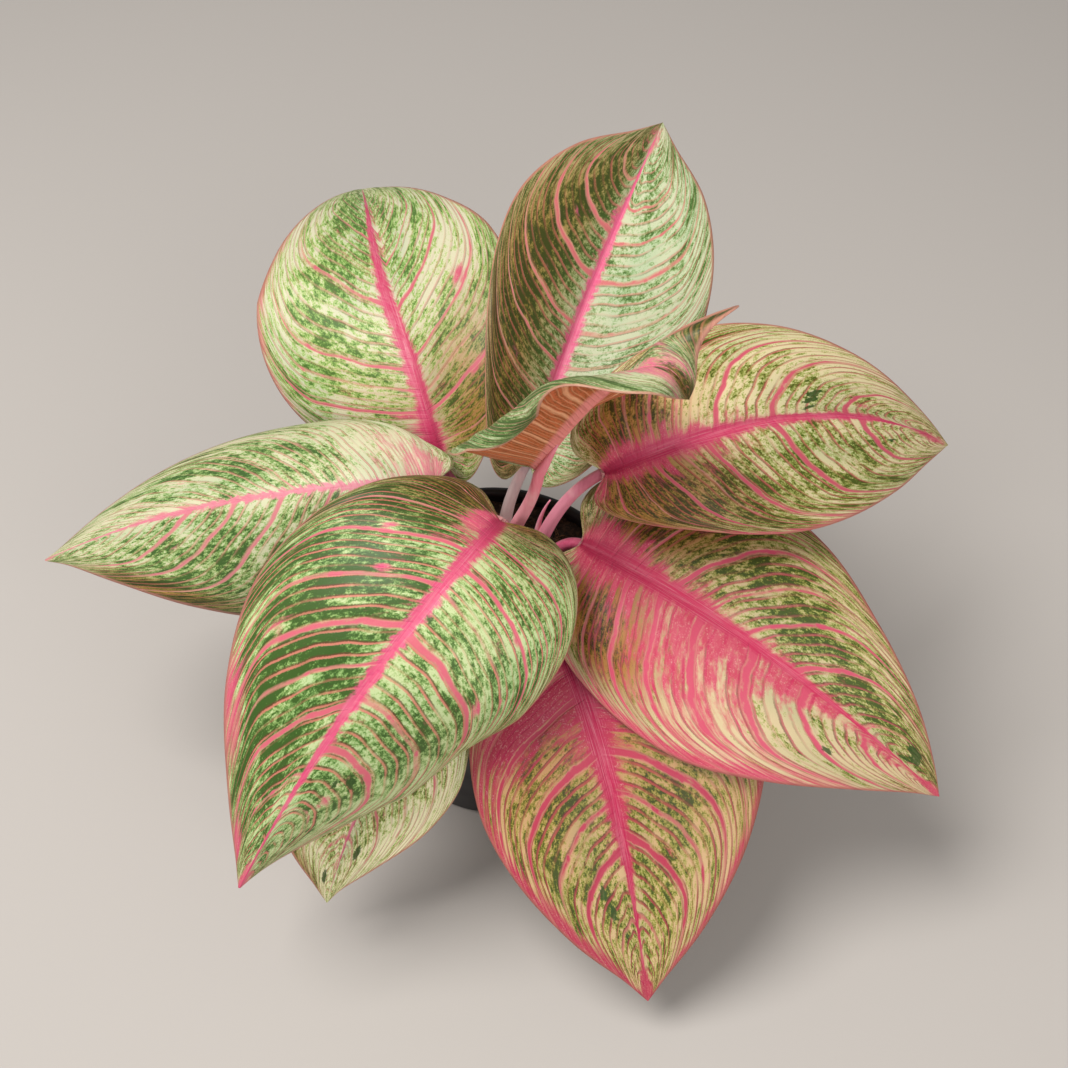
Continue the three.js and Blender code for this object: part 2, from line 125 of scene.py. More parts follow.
# Viewpoint and light
PHOTO_PIXELS = 1068
FOCAL_PIXELS = 1480
SENSOR_WIDTH = 36
CAMERA_SPOT = (0.017838, -0.376501, 0.57272)
CAMERA_TILT = 41
PLANT_MIDDLE = (0.0, 0.0, 0.15)
LAMPS = (
    {"name": "key", "spot": (-0.55, -0.15, 1.4), "size": 0.8, "watts": 19.5, "colour": (1.0, 0.985, 0.965)},
    {"name": "fill", "spot": (0.5, -1.2, 0.8), "size": 1.2, "watts": 9, "colour": (1.0, 0.98, 0.96)},
)
ROOM_COLOUR = (0.84, 0.83, 0.82, 1)
ROOM_STRENGTH = 0.38

# Each leaf, shaped as in the solids: lengths in mm, angles in degrees, and its left side first in a pair.
# spine: the curve of the midrib. face: where the upper face looks, from base to tip. width: half widths.
# fold, curl, roll, wave and flick: how the blade bends across. outline: shares of the half width, base to tip.
# foot: the angle round the cane where the stalk stands. rise, reach and neck: how it bends up to the blade.
# greens: the ground from deep green to cream. density: how green it is. fine, line: the fine veins' colours.
# veins: places along the leaf where the broad veins run, with their strength. vein_width: half width.
# lean: how much further along a vein leaves the midrib. drift: how far markings slide across by the tip.
# rib_width: the midrib's half width at its foot and tip. rib_deep: how much deeper in colour its foot is.
# washes: patches as (place along, place across with left positive, reach along, reach across, amount). The
# brown washes are partly the leaf's own reddish-brown and partly painted shade.
LEAVES = [
    {
        "name": "front_left",
        "spine": [(6, -22, 172), (-12, -63, 188), (-52, -89, 149), (-92, -114, 70)],
        "face": [(0, -0.6, 0.9), (-0.3, -0.8, 0.6)],
        "width": (58, 61),
        "fold": ([8, 4, -15, -60], [6]),
        "curl": ([-45, -70, -60], [-40]),
        "roll": ([0, 0, -20, -90], [0]),
        "outline": (
            [0.03, 0.3, 0.59, 0.86, 0.97, 0.96, 0.88, 0.56, 0.18, 0.006],
            [0.03, 0.24, 0.48, 0.76, 0.94, 0.97, 0.74, 0.38, 0.13, 0.006],
        ),
        "foot": 260,
        "rise": 30,
        "slot": "blade_green",
        "greens": ("#3c5a20", "#668842", "#9ab46e", "#c2cf98"),
        "vein": "#d25e72",
        "midrib": "#d84876",
        "rib_width": (2.9, 1.5),
        "density": (0.45, 0.6),
        "lean": (0.07, 0.01),
        "fine": "#cc7a68",
        "line": "#5c3c24",
        "rib_deep": 0.8,
        "vein_width": (0.0068, 0.0064),
        "fine_share": 0.8,
        "veins": (
            [(0.1, 0.5), (0.2, 0.6), (0.335, 0.9), (0.4, 0.4), (0.465, 0.9), (0.53, 0.4), (0.61, 1),
             (0.705, 0.6), (0.775, 1), (0.86, 0.4)],
            [(0.1, 0.5), (0.2, 0.5), (0.3, 0.5), (0.385, 0.7), (0.485, 1), (0.58, 0.7), (0.655, 1),
             (0.715, 0.5), (0.775, 1), (0.86, 0.5)],
        ),
        "washes": {
            "pink": [
                (0.3, -0.1, 0.14, 0.1, 1.2), (0.7, -0.96, 0.08, 0.1, 0.95), (0.88, -0.95, 0.05, 0.07, 0.9),
                (1, 0, 0.035, 1.5, 1.4), (0.475, -0.43, 0.012, 0.05, 1.05), (0.585, 0.62, 0.012, 0.05, 1),
                (0.57, -0.3, 0.011, 0.06, 0.95), (0.475, 0.5, 0.011, 0.05, 0.95),
                (0.84, 0.52, 0.016, 0.07, 0.9), (0.64, 0.3, 0.01, 0.05, 0.9),
                (0.36, 0.35, 0.02, 0.08, 0.6), (0.64, -0.72, 0.012, 0.07, 0.9),
            ],
            "brown_and_shade": [(0.2, -0.5, 0.17, 0.7, 1), (0.1, 0.5, 0.1, 0.6, 0.9), (0.4, -0.4, 0.1, 0.6, 0.3)],
            "deep": [(0.66, -0.6, 0.16, 0.4, 0.4), (0.88, -0.55, 0.04, 0.3, 0.4)],
            # Painted highlight: the two cream washes near the tip paint a pale gloss sheen
            "cream": [(0.89, -0.2, 0.03, 0.25, 0.9), (0.9, -0.5, 0.015, 0.3, 0.8)],
            "blotch": [(0.8, 0.5, 0.01, 0.06, 0.9), (0.825, 0.42, 0.01, 0.05, 0.8)],
        },
    },
    {
        "name": "left",
        "spine": [(-17, -5, 174), (-44, -15, 185), (-109, -5, 171), (-180, 9, 113)],
        "face": [(-0.1, -0.6, 0.8), (-0.4, -0.6, 0.8)],
        "width": (49, 44),
        "fold": ([-5], [-22]),
        "curl": ([-35], [-45]),
        "outline": (
            [0.03, 0.28, 0.54, 0.82, 0.98, 0.98, 0.76, 0.4, 0.13, 0.006],
            [0.03, 0.2, 0.42, 0.76, 0.97, 0.94, 0.68, 0.34, 0.1, 0.006],
        ),
        "neck": (1.7, 3.2),
        "foot": 178,
        "rise": 30,
        "slot": "blade_green",
        "greens": ("#40602a", "#78984f", "#acbe80", "#d2ceaa"),
        "vein": "#d27a82",
        "midrib": "#d67688",
        "rib_width": (1.5, 0.9),
        "density": (0.47, 0.43),
        "lean": (0.015, 0.0),
        "fine": "#d08c7c",
        "line": "#74583a",
        "rib_deep": 0,
        "vein_width": (0.006, 0.005),
        "fine_share": 0.55,
        "veins": (
            [(0.1, 0.5), (0.2, 0.6), (0.3, 0.6), (0.4, 0.6), (0.5, 0.7), (0.585, 0.6), (0.665, 0.85),
             (0.735, 0.8), (0.8, 0.9), (0.88, 0.3)],
            [(0.1, 0.4), (0.22, 0.5), (0.33, 0.5), (0.43, 0.4), (0.5, 0.3), (0.58, 0.4), (0.66, 0.4),
             (0.74, 0.4), (0.81, 0.5), (0.88, 0.4)],
        ),
        "washes": {
            "pink": [(0.22, -0.3, 0.16, 0.5, 0.85), (1, 0, 0.02, 1.5, 0.8), (0.84, -0.12, 0.05, 0.14, 0.7),
                     (0.4, -0.3, 0.1, 0.4, 0.25)],
            "cream": [(0.4, -0.45, 0.12, 0.6, 0.5), (0.86, 0, 0.05, 1, 0.35)],
            "deep": [(0.72, 0.85, 0.12, 0.18, 0.9), (0.66, -0.5, 0.09, 0.6, 0.4)],
            "brown_and_shade": [(0.72, 0.95, 0.14, 0.12, 1), (0.2, 0.4, 0.2, 0.6, 0.6)],
        },
    },
    {
        "name": "back_left",
        "spine": [(-17, 14, 165), (-30, 36, 202), (-45, 101, 222), (-59, 174, 174)],
        "face": [(0, -0.6, 0.9), (0, -0.1, 1)],
        "width": (60, 52),
        "fold": ([-28, 4, 10], [45, 10]),
        "curl": ([-50, -25, -25], [-30]),
        "outline": (
            [0.03, 0.3, 0.56, 0.86, 1, 0.95, 0.7, 0.36, 0.13, 0.006],
            [0.03, 0.14, 0.34, 0.66, 0.92, 0.86, 0.58, 0.32, 0.12, 0.006],
        ),
        "neck": (1, 3.3),
        "foot": 135,
        "reach": (8, -3, -18),
        "rise": 30,
        "slot": "blade_green",
        "greens": ("#4e6e2c", "#7fa24e", "#aec078", "#cfcaaa"),
        "vein": "#c85e6e",
        "midrib": "#c43662",
        "rib_width": (3.6, 1.6),
        "density": (0.47, 0.44),
        "lean": (0.01, 0.035),
        "fine": "#c28274",
        "line": "#745440",
        "rib_deep": 1,
        "vein_width": (0.0058, 0.0062),
        "drift": 0.17,
        "fine_share": 0.5,
        "veins": (
            [(0.1, 0.5), (0.2, 0.5), (0.3, 0.6), (0.39, 0.5), (0.47, 1), (0.53, 0.5), (0.575, 0.8),
             (0.69, 0.7), (0.74, 0.4), (0.8, 0.5)],
            [(0.1, 0.5), (0.2, 0.6), (0.32, 0.5), (0.445, 1), (0.495, 0.4), (0.57, 0.7), (0.665, 0.9),
             (0.75, 0.5), (0.8, 0.4), (0.86, 0.3)],
        ),
        "washes": {
            "pink": [
                (0.26, 0, 0.18, 0.14, 1.1), (0.5, 0.98, 0.3, 0.04, 0.6), (0.58, -0.62, 0.02, 0.08, 0.9),
                (0.445, -0.5, 0.012, 0.08, 1.1), (0.3, 0.3, 0.12, 0.25, 0.6), (0.86, 0.0, 0.08, 0.1, 0.6),
            ],
            "brown_and_shade": [(0.34, -0.6, 0.13, 0.6, 1), (0.5, 0.2, 0.12, 0.5, 0.3), (0.52, -0.4, 0.1, 0.4, 0.4)],
            "cream": [(0.36, 0.5, 0.1, 0.4, 0.5), (0.62, -0.6, 0.05, 0.3, 0.5)],
            "deep": [(0.88, 0, 0.1, 1.2, 0.45)],
        },
    },
    {
        "name": "back_right",
        "spine": [(15, 8, 171), (26, 24, 203), (45, 77, 219), (70, 143, 229)],
        "face": [(0, -0.7, 0.8), (0, -0.5, 0.9)],
        "width": (44, 45),
        "fold": ([40, 15], [-15, 10, 10]),
        "curl": ([-25], [120, -20, -20]),
        "outline": (
            [0.03, 0.16, 0.34, 0.56, 0.78, 0.92, 0.9, 0.62, 0.22, 0.006],
            [0.03, 0.16, 0.38, 0.7, 0.92, 1, 0.9, 0.62, 0.22, 0.006],
        ),
        "neck": (0.7, 2.9),
        "foot": 85,
        "reach": (-10, -3, -24),
        "rise": 30,
        "slot": "blade_green",
        "greens": ("#48682c", "#80985a", "#aabc8c", "#c6caa6"),
        "vein": "#cc6a6c",
        "midrib": "#d85680",
        "rib_width": (3.0, 1.5),
        "density": (0.53, 0.47),
        "lean": (0.05, 0.05),
        "fine": "#c88272",
        "line": "#64482c",
        "rib_deep": 0,
        "vein_width": (0.006, 0.0055),
        "fine_share": 0.55,
        "veins": (
            [(0.1, 0.5), (0.2, 0.6), (0.3, 0.6), (0.4, 0.7), (0.49, 0.6), (0.57, 0.6), (0.645, 0.7),
             (0.73, 1), (0.8, 0.9), (0.88, 0.6)],
            [(0.1, 0.5), (0.2, 0.5), (0.3, 0.5), (0.4, 0.5), (0.5, 0.5), (0.57, 0.4), (0.635, 0.5),
             (0.72, 0.8), (0.785, 0.6), (0.84, 0.6)],
        ),
        "washes": {
            # Painted shade: the first brown wash and the first deep wash darken the whole left half, which
            # faces away from the light
            "brown_and_shade": [(0.5, 0.62, 0.7, 0.55, 1), (0.3, -0.9, 0.1, 0.4, 0.6)],
            "deep": [(0.6, 0.6, 0.35, 0.5, 0.25), (0.9, -0.7, 0.05, 0.25, 0.5)],
            "cream": [(0.65, -0.45, 0.2, 0.4, 0.35), (0.735, 0.5, 0.012, 0.04, 2)],
            "pink": [(0.3, 0, 0.2, 0.1, 0.7), (0.97, 0, 0.025, 1, 0.7), (0.86, 0.1, 0.05, 0.15, 0.6)],
        },
    },
    {
        "name": "right",
        "spine": [(43, -12, 187), (71, -18, 212), (127, 19, 204), (184, 41, 147)],
        "face": [(0.2, -0.6, 0.8), (0.6, -0.6, 0.6)],
        "width": (38, 42),
        "fold": ([12], [12]),
        "curl": ([-35], [-20]),
        "outline": (
            [0.03, 0.3, 0.58, 0.86, 1, 0.9, 0.62, 0.3, 0.11, 0.006],
            [0.03, 0.18, 0.38, 0.68, 0.92, 1, 0.88, 0.6, 0.24, 0.006],
        ),
        "neck": (0.9, 2.9),
        "foot": 32,
        "reach": (-20, 5, -18),
        "tongue": [(19, 2, 124), (18, 4, 136), (20, 3, 148), (24, 1, 158)],
        "rise": 18,
        "slot": "blade_cream",
        "greens": ("#4c5812", "#848c3a", "#b4b670", "#dccda0"),
        "vein": "#ca4e66",
        "midrib": "#c83460",
        "rib_width": (3.4, 1.7),
        "density": (0.42, 0.48),
        "lean": (0.07, 0.03),
        "fine": "#bc5c56",
        "line": "#743c26",
        "rib_deep": 1,
        "vein_width": (0.0068, 0.007),
        "fine_share": 0.7,
        "veins": (
            [(0.1, 0.6), (0.2, 0.6), (0.3, 0.6), (0.37, 0.5), (0.43, 0.7), (0.49, 0.6), (0.565, 1),
             (0.66, 0.9), (0.78, 1), (0.89, 0.6)],
            [(0.1, 0.7), (0.18, 0.7), (0.26, 0.8), (0.36, 0.5), (0.45, 1), (0.52, 0.4), (0.575, 1),
             (0.695, 1), (0.76, 0.3), (0.835, 1)],
        ),
        "washes": {
            "pink": [(0.24, 0, 0.22, 0.15, 1.3), (0.1, -0.5, 0.12, 0.5, 1), (0.59, 0.0, 0.08, 0.18, 0.6),
                     (0.97, 0, 0.03, 0.8, 1), (0.5, -0.98, 0.3, 0.05, 0.8), (0.86, 0.05, 0.05, 0.18, 0.8),
                     (0.45, 0, 0.12, 0.35, 0.35), (0.82, 0.5, 0.02, 0.5, 0.35)],
            "brown_and_shade": [(0.34, 0.3, 0.17, 0.6, 1), (0.28, -0.6, 0.17, 0.7, 1), (0.52, -0.3, 0.1, 0.6, 0.5)],
            "cream": [(0.65, 0.5, 0.15, 0.5, 0.3), (0.9, -0.4, 0.05, 0.5, 0.3)],
            "deep": [(0.52, -0.6, 0.1, 0.4, 0.35), (0.38, 0, 0.1, 1, 0.3)],
            "blotch": [
                (0.728, 0.43, 0.009, 0.08, 1), (0.742, 0.32, 0.009, 0.08, 1), (0.76, 0.2, 0.007, 0.08, 0.9),
                (0.865, -0.5, 0.01, 0.05, 0.8),
            ],
        },
    },
    {
        "name": "front_right",
        "spine": [(36, -10, 146), (78, -40, 150), (124, -65, 128), (175, -76, 72)],
        "face": [(0.2, -0.6, 0.8), (0.3, -0.8, 0.5)],
        "width": (50, 53),
        "fold": ([10], [12]),
        "curl": ([-35], [-35]),
        "outline": (
            [0.03, 0.3, 0.6, 0.9, 1.03, 0.96, 0.69, 0.4, 0.16, 0.006],
            [0.03, 0.28, 0.54, 0.82, 0.97, 0.96, 0.72, 0.38, 0.13, 0.006],
        ),
        "foot": 336,
        "rise": 20,
        "slot": "blade_pink",
        "greens": ("#435416", "#7e8636", "#b0ae68", "#d4bf94"),
        "vein": "#cf4868",
        "midrib": "#c92f5a",
        "rib_width": (4.4, 2.2),
        "density": (0.51, 0.36),
        "lean": (0.03, 0.06),
        "fine": "#b44c58",
        "line": "#702c32",
        "rib_deep": 0.8,
        "vein_width": (0.0065, 0.0095),
        "fine_share": 0.7,
        "veins": (
            [(0.1, 0.7), (0.2, 0.7), (0.3, 0.7), (0.4, 0.6), (0.48, 0.6), (0.575, 1), (0.64, 0.6),
             (0.7, 0.8), (0.775, 1), (0.87, 0.5)],
            [(0.1, 0.8), (0.2, 0.8), (0.3, 0.8), (0.38, 0.6), (0.455, 0.9), (0.535, 0.9), (0.61, 1),
             (0.69, 1), (0.77, 1), (0.86, 0.8)],
        ),
        "washes": {
            "pink": [
                (0.3, 0, 0.25, 0.2, 1.1), (0.6, -0.35, 0.15, 0.38, 0.72), (0.8, -0.15, 0.12, 0.28, 0.85),
                (0.6, -0.8, 0.16, 0.25, 0.4), (0.99, 0, 0.025, 1.5, 1.4), (0.55, -0.97, 0.3, 0.07, 0.8),
                (0.92, -0.4, 0.04, 0.5, 0.6), (0.72, -0.6, 0.02, 0.12, -0.5), (0.8, -0.6, 0.03, 0.2, -0.5),
                (0.3, -0.5, 0.14, 0.6, 0.3), (0.25, 0.4, 0.14, 0.5, 0.2),
            ],
            "brown_and_shade": [(0.42, 0.4, 0.18, 0.6, 1), (0.42, -0.4, 0.12, 0.4, 1.5)],
            "cream": [(0.72, -0.7, 0.16, 0.25, 0.4)],
            "deep": [(0.8, 0.7, 0.1, 0.3, 0.3), (0.42, -0.4, 0.08, 0.25, 0.6)],
            "blotch": [
                (0.89, 0.8, 0.014, 0.06, 1), (0.905, 0.72, 0.02, 0.07, 1), (0.925, 0.6, 0.011, 0.08, 1),
                (0.934, 0.35, 0.006, 0.2, 0.9), (0.78, -0.72, 0.01, 0.05, 0.8),
            ],
        },
    },
    {
        "name": "front",
        "spine": [(24, -30, 128), (44, -72, 112), (54, -106, 76), (62, -136, 20)],
        "face": [(0.1, -0.7, 0.7), (0, -0.8, 0.5)],
        "width": (66, 53),
        "fold": ([12], [12]),
        "curl": ([-35], [-35]),
        "outline": (
            [0.03, 0.34, 0.64, 0.9, 1, 0.94, 0.72, 0.4, 0.14, 0.006],
            [0.03, 0.26, 0.5, 0.74, 0.92, 0.96, 0.8, 0.49, 0.17, 0.006],
        ),
        "foot": 299,
        "rise": 14,
        "slot": "blade_pink",
        "greens": ("#46541a", "#80862e", "#b2aa60", "#d2b488"),
        "vein": "#b22a4e",
        "midrib": "#b4224e",
        "rib_width": (4.4, 2.2),
        "density": (0.45, 0.49),
        "lean": (0.025, 0.035),
        "fine": "#9c3a42",
        "line": "#661e2c",
        "rib_deep": 0.8,
        "vein_width": (0.0085, 0.009),
        "fine_share": 0.8,
        "veins": (
            [(0.1, 0.8), (0.2, 0.8), (0.3, 0.7), (0.4, 0.7), (0.5, 0.7), (0.59, 0.8), (0.67, 1),
             (0.733, 0.6), (0.79, 1), (0.885, 0.6)],
            [(0.1, 0.8), (0.2, 0.8), (0.3, 0.8), (0.4, 0.7), (0.49, 0.6), (0.56, 1), (0.66, 1),
             (0.735, 0.6), (0.8, 1), (0.885, 0.5)],
        ),
        "washes": {
            "pink": [
                (0.3, 0, 0.3, 0.6, 1.4), (0.78, 0, 0.16, 0.11, 1.2), (0.8, 1, 0.25, 0.05, 1.1),
                (0.78, -1, 0.25, 0.1, 1.3), (0.985, 0, 0.03, 1.5, 1.4), (0.5, -0.6, 0.08, 0.5, 0.9),
                (0.5, 0.6, 0.1, 0.6, 0.6),
            ],
            "brown_and_shade": [(0.6, 0, 0.25, 1.2, 0.7)],
            "blotch": [
                (0.82, -0.52, 0.01, 0.05, 1), (0.85, -0.53, 0.012, 0.08, 1), (0.895, -0.5, 0.008, 0.08, 0.7),
            ],
        },
    },
    {
        "name": "low_left",
        "spine": [(-9, -28, 122), (-27, -63, 118), (-49, -84, 88), (-65, -99, 29)],
        "face": [(0, -0.7, 0.7), (0, -0.9, 0.4)],
        "width": (41, 46),
        "fold": ([12], [12]),
        "curl": ([-35], [-35]),
        "outline": (
            [0.03, 0.16, 0.3, 0.44, 0.62, 0.78, 0.68, 0.36, 0.11, 0.006],
            [0.03, 0.3, 0.56, 0.8, 0.92, 0.94, 0.8, 0.49, 0.17, 0.006],
        ),
        "neck": (0.8, 2.8),
        "foot": 220,
        "rise": 12,
        "slot": "blade_green",
        "greens": ("#5c6c28", "#a2b45e", "#d6dc9c", "#f0e8c0"),
        "vein": "#cf6c74",
        "midrib": "#cf607e",
        "rib_width": (2.0, 1.1),
        "density": (0.42, 0.46),
        "lean": (0.03, 0.03),
        "fine": "#d08470",
        "line": "#674626",
        "rib_deep": 0,
        "vein_width": (0.006, 0.006),
        "fine_share": 0.55,
        "veins": (
            [(0.1, 0.6), (0.22, 0.7), (0.34, 0.7), (0.45, 0.8), (0.55, 0.6), (0.64, 0.8), (0.72, 0.5),
             (0.79, 0.8), (0.87, 0.6)],
            [(0.1, 0.6), (0.22, 0.7), (0.34, 0.7), (0.45, 0.8), (0.55, 0.6), (0.64, 0.8), (0.72, 0.5),
             (0.79, 0.8), (0.87, 0.6)],
        ),
        "washes": {
            "pink": [(0.25, 0, 0.2, 0.12, 0.7), (0.93, -0.25, 0.02, 0.2, 0.6)],
            "brown_and_shade": [(0.8, -1, 0.2, 0.1, 0.8)],
            "blotch": [(0.85, 0.65, 0.02, 0.1, 0.9), (0.92, -0.72, 0.02, 0.12, 0.9)],
        },
    },
    {
        "name": "centre",
        "spine": [(19, -16, 194), (39, -31, 250), (58, -41, 281), (66, -42, 252)],
        "face": [(-0.3, 0.8, 0.1), (-0.25, 0.7, 0.4), (0.3, -0.6, 0.7)],
        "width": (34, 38),
        "fold": ([70, 5, 40], [15, 22, 22]),
        "curl": ([10, -10, -20], [-5, -35, 0]),
        "roll": ([0], [0, -60, -320, -220, -60]),
        "wave": (0, 1, 0),
        "ends": [0, 0.03, 0.09, 0.17, 0.29, 0.46, 0.63, 0.8, 0.925, 1],
        "outline": (
            [0.03, 0.34, 0.64, 0.88, 1, 0.9, 0.66, 0.4, 0.16, 0.006],
            [0.03, 0.45, 0.84, 1.04, 1, 0.92, 0.76, 0.5, 0.2, 0.006],
        ),
        "flick": (0.78, 1, 0.045, 25, 2, 7),
        "foot": None,
        "reach": (-3, 2, -26),
        "rise": 30,
        "slot": "blade_young",
        "greens": ("#46602c", "#6a8648", "#92a46c", "#bec49a"),
        "vein": "#d0827e",
        "midrib": "#d66e88",
        "rib_width": (2.2, 1.0),
        "density": (0.52, 0.55),
        "lean": (0.03, 0.03),
        "fine": "#c2947c",
        "line": "#5c4a32",
        "rib_deep": 0,
        "vein_width": (0.0055, 0.0055),
        "fine_share": 0.5,
        "veins": (
            [(0.1, 0.5), (0.2, 0.5), (0.3, 0.5), (0.4, 0.5), (0.5, 0.5), (0.6, 0.5), (0.7, 0.5),
             (0.79, 0.5), (0.87, 0.4)],
            [(0.1, 0.5), (0.2, 0.5), (0.3, 0.5), (0.4, 0.5), (0.5, 0.5), (0.6, 0.5), (0.7, 0.5),
             (0.79, 0.5), (0.87, 0.4)],
        ),
        "washes": {
            "pink": [(0.87, -0.5, 0.06, 0.3, 0.9), (0.91, 0, 0.03, 1.2, 0.9), (0.78, 0.72, 0.08, 0.14, 1.1)],
            "brown_and_shade": [(1, 0, 0.075, 1.5, 1.6), (0.78, 1, 0.08, 0.14, 1.4)],
            "cream": [(0.84, -0.5, 0.06, 0.5, 0.8)],
            "deep": [(0.6, -0.8, 0.2, 0.4, 0.4), (0.8, 0.6, 0.15, 0.4, 0.4)],
            "blotch": [(0.93, -0.3, 0.008, 0.2, 1), (0.78, 1, 0.06, 0.12, 0.6)],
        },
    },
]

STALK_COLOURS = {
    "front_left": ("#e0899c", "#c7556f"),
    "left": ("#dd8fa0", "#c4617a"),
    "back_left": ("#d07c92", "#a2476a"),
    "back_right": ("#d9c4c0", "#b79aa0"),
    "right": ("#e892a6", "#cf6480"),
    "front_right": ("#e07a98", "#c43f68"),
    "front": ("#c9607c", "#9c2f52"),
    "low_left": ("#d98f96", "#b3606c"),
    "centre": ("#f2a2ac", "#e26f84"),
}


def smooth(values, u):
    """Value at share u of a row of evenly spaced values, joined smoothly."""
    v = np.asarray(values, float)
    last = len(v) - 1
    place = np.clip(u, 0, 1) * last
    i = np.minimum(place.astype(int), last - 1)
    w = place - i
    b = v[i]
    c = v[i + 1]
    a = np.where(i > 0, v[np.maximum(i - 1, 0)], 2 * b - c)
    d = np.where(i < last - 1, v[np.minimum(i + 2, last)], 2 * c - b)
    return 0.5 * (2 * b + (c - a) * w + (2 * a - 5 * b + 4 * c - d) * w**2 + (3 * b - a - 3 * c + d) * w**3)


def straight(values, k):
    """Value at share k of a row of evenly spaced values, joined by straight lines."""
    return np.interp(np.asarray(k) * (len(values) - 1), np.arange(len(values)), values)


def bezier(control, t):
    c = np.asarray(control, float)
    t = np.asarray(t, float)[..., None]
    s = 1 - t
    return s**3 * c[0] + 3 * s**2 * t * c[1] + 3 * s * t**2 * c[2] + t**3 * c[3]


def unit(v):
    return v / np.linalg.norm(v, axis=-1, keepdims=True)


def bezier_slope(control, t):
    c = np.asarray(control, float)
    t = np.asarray(t, float)[..., None]
    s = 1 - t
    return unit(s**2 * (c[1] - c[0]) + 2 * s * t * (c[2] - c[1]) + t**2 * (c[3] - c[2]))


def spine_length(control):
    points = bezier(control, np.linspace(0, 1, 201))
    return np.linalg.norm(np.diff(points, axis=0), axis=1).sum()


def spine_at(control, x):
    """Points and slopes of a leaf's spine at lengths x from its base, straight on past its ends."""
    t = np.linspace(0, 1, 201)
    steps = np.linalg.norm(np.diff(bezier(control, t), axis=0), axis=1)
    lengths = np.concatenate([[0], np.cumsum(steps)])
    held = np.clip(x, 0, lengths[-1])
    at = np.interp(held, lengths, t)
    slope = bezier_slope(control, at)
    return bezier(control, at) + (x - held)[..., None] * slope, slope


def flat_place(leaf, total, u, t):
    """Flat place in mm, along and away from the midrib, of vein station u and share t across."""
    left = t >= 0
    width = np.where(left, leaf["width"][0], leaf["width"][1])
    outline = leaf["outline"]
    end_x = smooth(leaf.get("ends", VEIN_END), u) * total
    end_y = np.where(left, smooth(outline[0], u), smooth(outline[1], u)) * width
    root_x = smooth(VEIN_ROOT, u) * total
    a = np.abs(t)
    bend_x = root_x + 0.3 * (end_x - root_x)
    x = (1 - a) ** 2 * root_x + 2 * (1 - a) * a * bend_x + a * a * end_x
    y = 2 * (1 - a) * a * 0.62 * end_y + a * a * end_y
    return x, y, width


def by_side(pair, left, k):
    return np.where(left, straight(pair[0], k), straight(pair[1], k))


def blade_place(leaf, u, t):
    """Places in mm on the bent blade, with the flat lengths along and away from the midrib."""
    total = spine_length(leaf["spine"])
    x, y, width = flat_place(leaf, total, u, t)
    point, slope = spine_at(leaf["spine"], x)
    k = np.clip(x / total, 0, 1)
    up = np.stack([straight([f[c] for f in leaf["face"]], k) for c in range(3)], -1)
    up = unit(up - (up * slope).sum(-1, keepdims=True) * slope)
    across = np.cross(up, slope)
    left = t >= 0
    fold = np.radians(by_side(leaf["fold"], left, k))
    curl = np.radians(by_side(leaf["curl"], left, k))
    roll = np.radians(by_side(leaf.get("roll", ([0], [0])), left, k))
    a = y / width
    steps = 14
    out = np.zeros_like(a)
    rise = np.zeros_like(a)
    for i in range(steps):
        b = (i + 0.5) / steps * a
        angle = fold + curl * b + roll * np.maximum(0, b - 0.5) ** 2 * 4
        out += np.cos(angle) * a / steps
        rise += np.sin(angle) * a / steps
    height, count, shift = leaf.get("wave", LEAF_WAVE)
    lift = rise * width + height * np.sin(2 * np.pi * (count * k + shift) + np.where(left, 0, 1.7)) * a**2
    point = point + across * (np.where(left, 1, -1) * out * width)[..., None] + up * lift[..., None]
    if "flick" in leaf:
        middle, way, spread, dx, dy, dz = leaf["flick"]
        share = np.exp(-(((u - middle) / spread) ** 2)) * np.maximum(0, t * way) ** 2
        point = point + share[..., None] * np.array([dx, dy, dz], float)
    return point, x, y


def vein_station(leaf, u, t, left):
    """Where on the row of broad veins a place lies: veins leave the midrib steeply and run up the margin."""
    a = np.abs(t)
    lean = np.where(left, leaf["lean"][0], leaf["lean"][1])
    return u - lean * np.maximum(0, 1 - a / 0.6) ** 1.3 - 0.09 * np.maximum(0, (a - 0.7) / 0.3) ** 2


def puffed(leaf, station, left):
    """Height in mm, between 0 on a broad vein and 1 midway between two."""
    height = np.zeros_like(station)
    for side, mask in ((0, left), (1, ~left)):
        stops = np.array([0.0] + [v for v, strength in leaf["veins"][side] if strength > 0.45] + [1.0])
        i = np.clip(np.searchsorted(stops, station) - 1, 0, len(stops) - 2)
        p = np.clip((station - stops[i]) / (stops[i + 1] - stops[i]), 0, 1)
        size = np.minimum(1, (stops[i + 1] - stops[i]) / 0.08)
        height = np.where(mask, size * (1 - np.abs(2 * p - 1) ** 2.2), height)
    return height


def wash_amount(patches, u, t):
    """Sum of soft patches over the blade."""
    amount = np.zeros_like(u)
    for along, across, reach_along, reach_across, strength in patches:
        far = ((u - along) / reach_along) ** 2 + ((t - across) / reach_across) ** 2
        amount += strength * np.exp(-far)
    return amount


def piece_from(bm, name, replaced=()):
    """A named mesh object that rides on the plant and stands for its solids."""
    mesh = bpy.data.meshes.new(name)
    bm.to_mesh(mesh)
    bm.free()
    piece = bpy.data.objects.new(name, mesh)
    bpy.context.scene.collection.objects.link(piece)
    mesh.polygons.foreach_set("use_smooth", np.ones(len(mesh.polygons), bool))
    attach(piece, "root")
    if replaced:
        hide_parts(*replaced)
    return piece


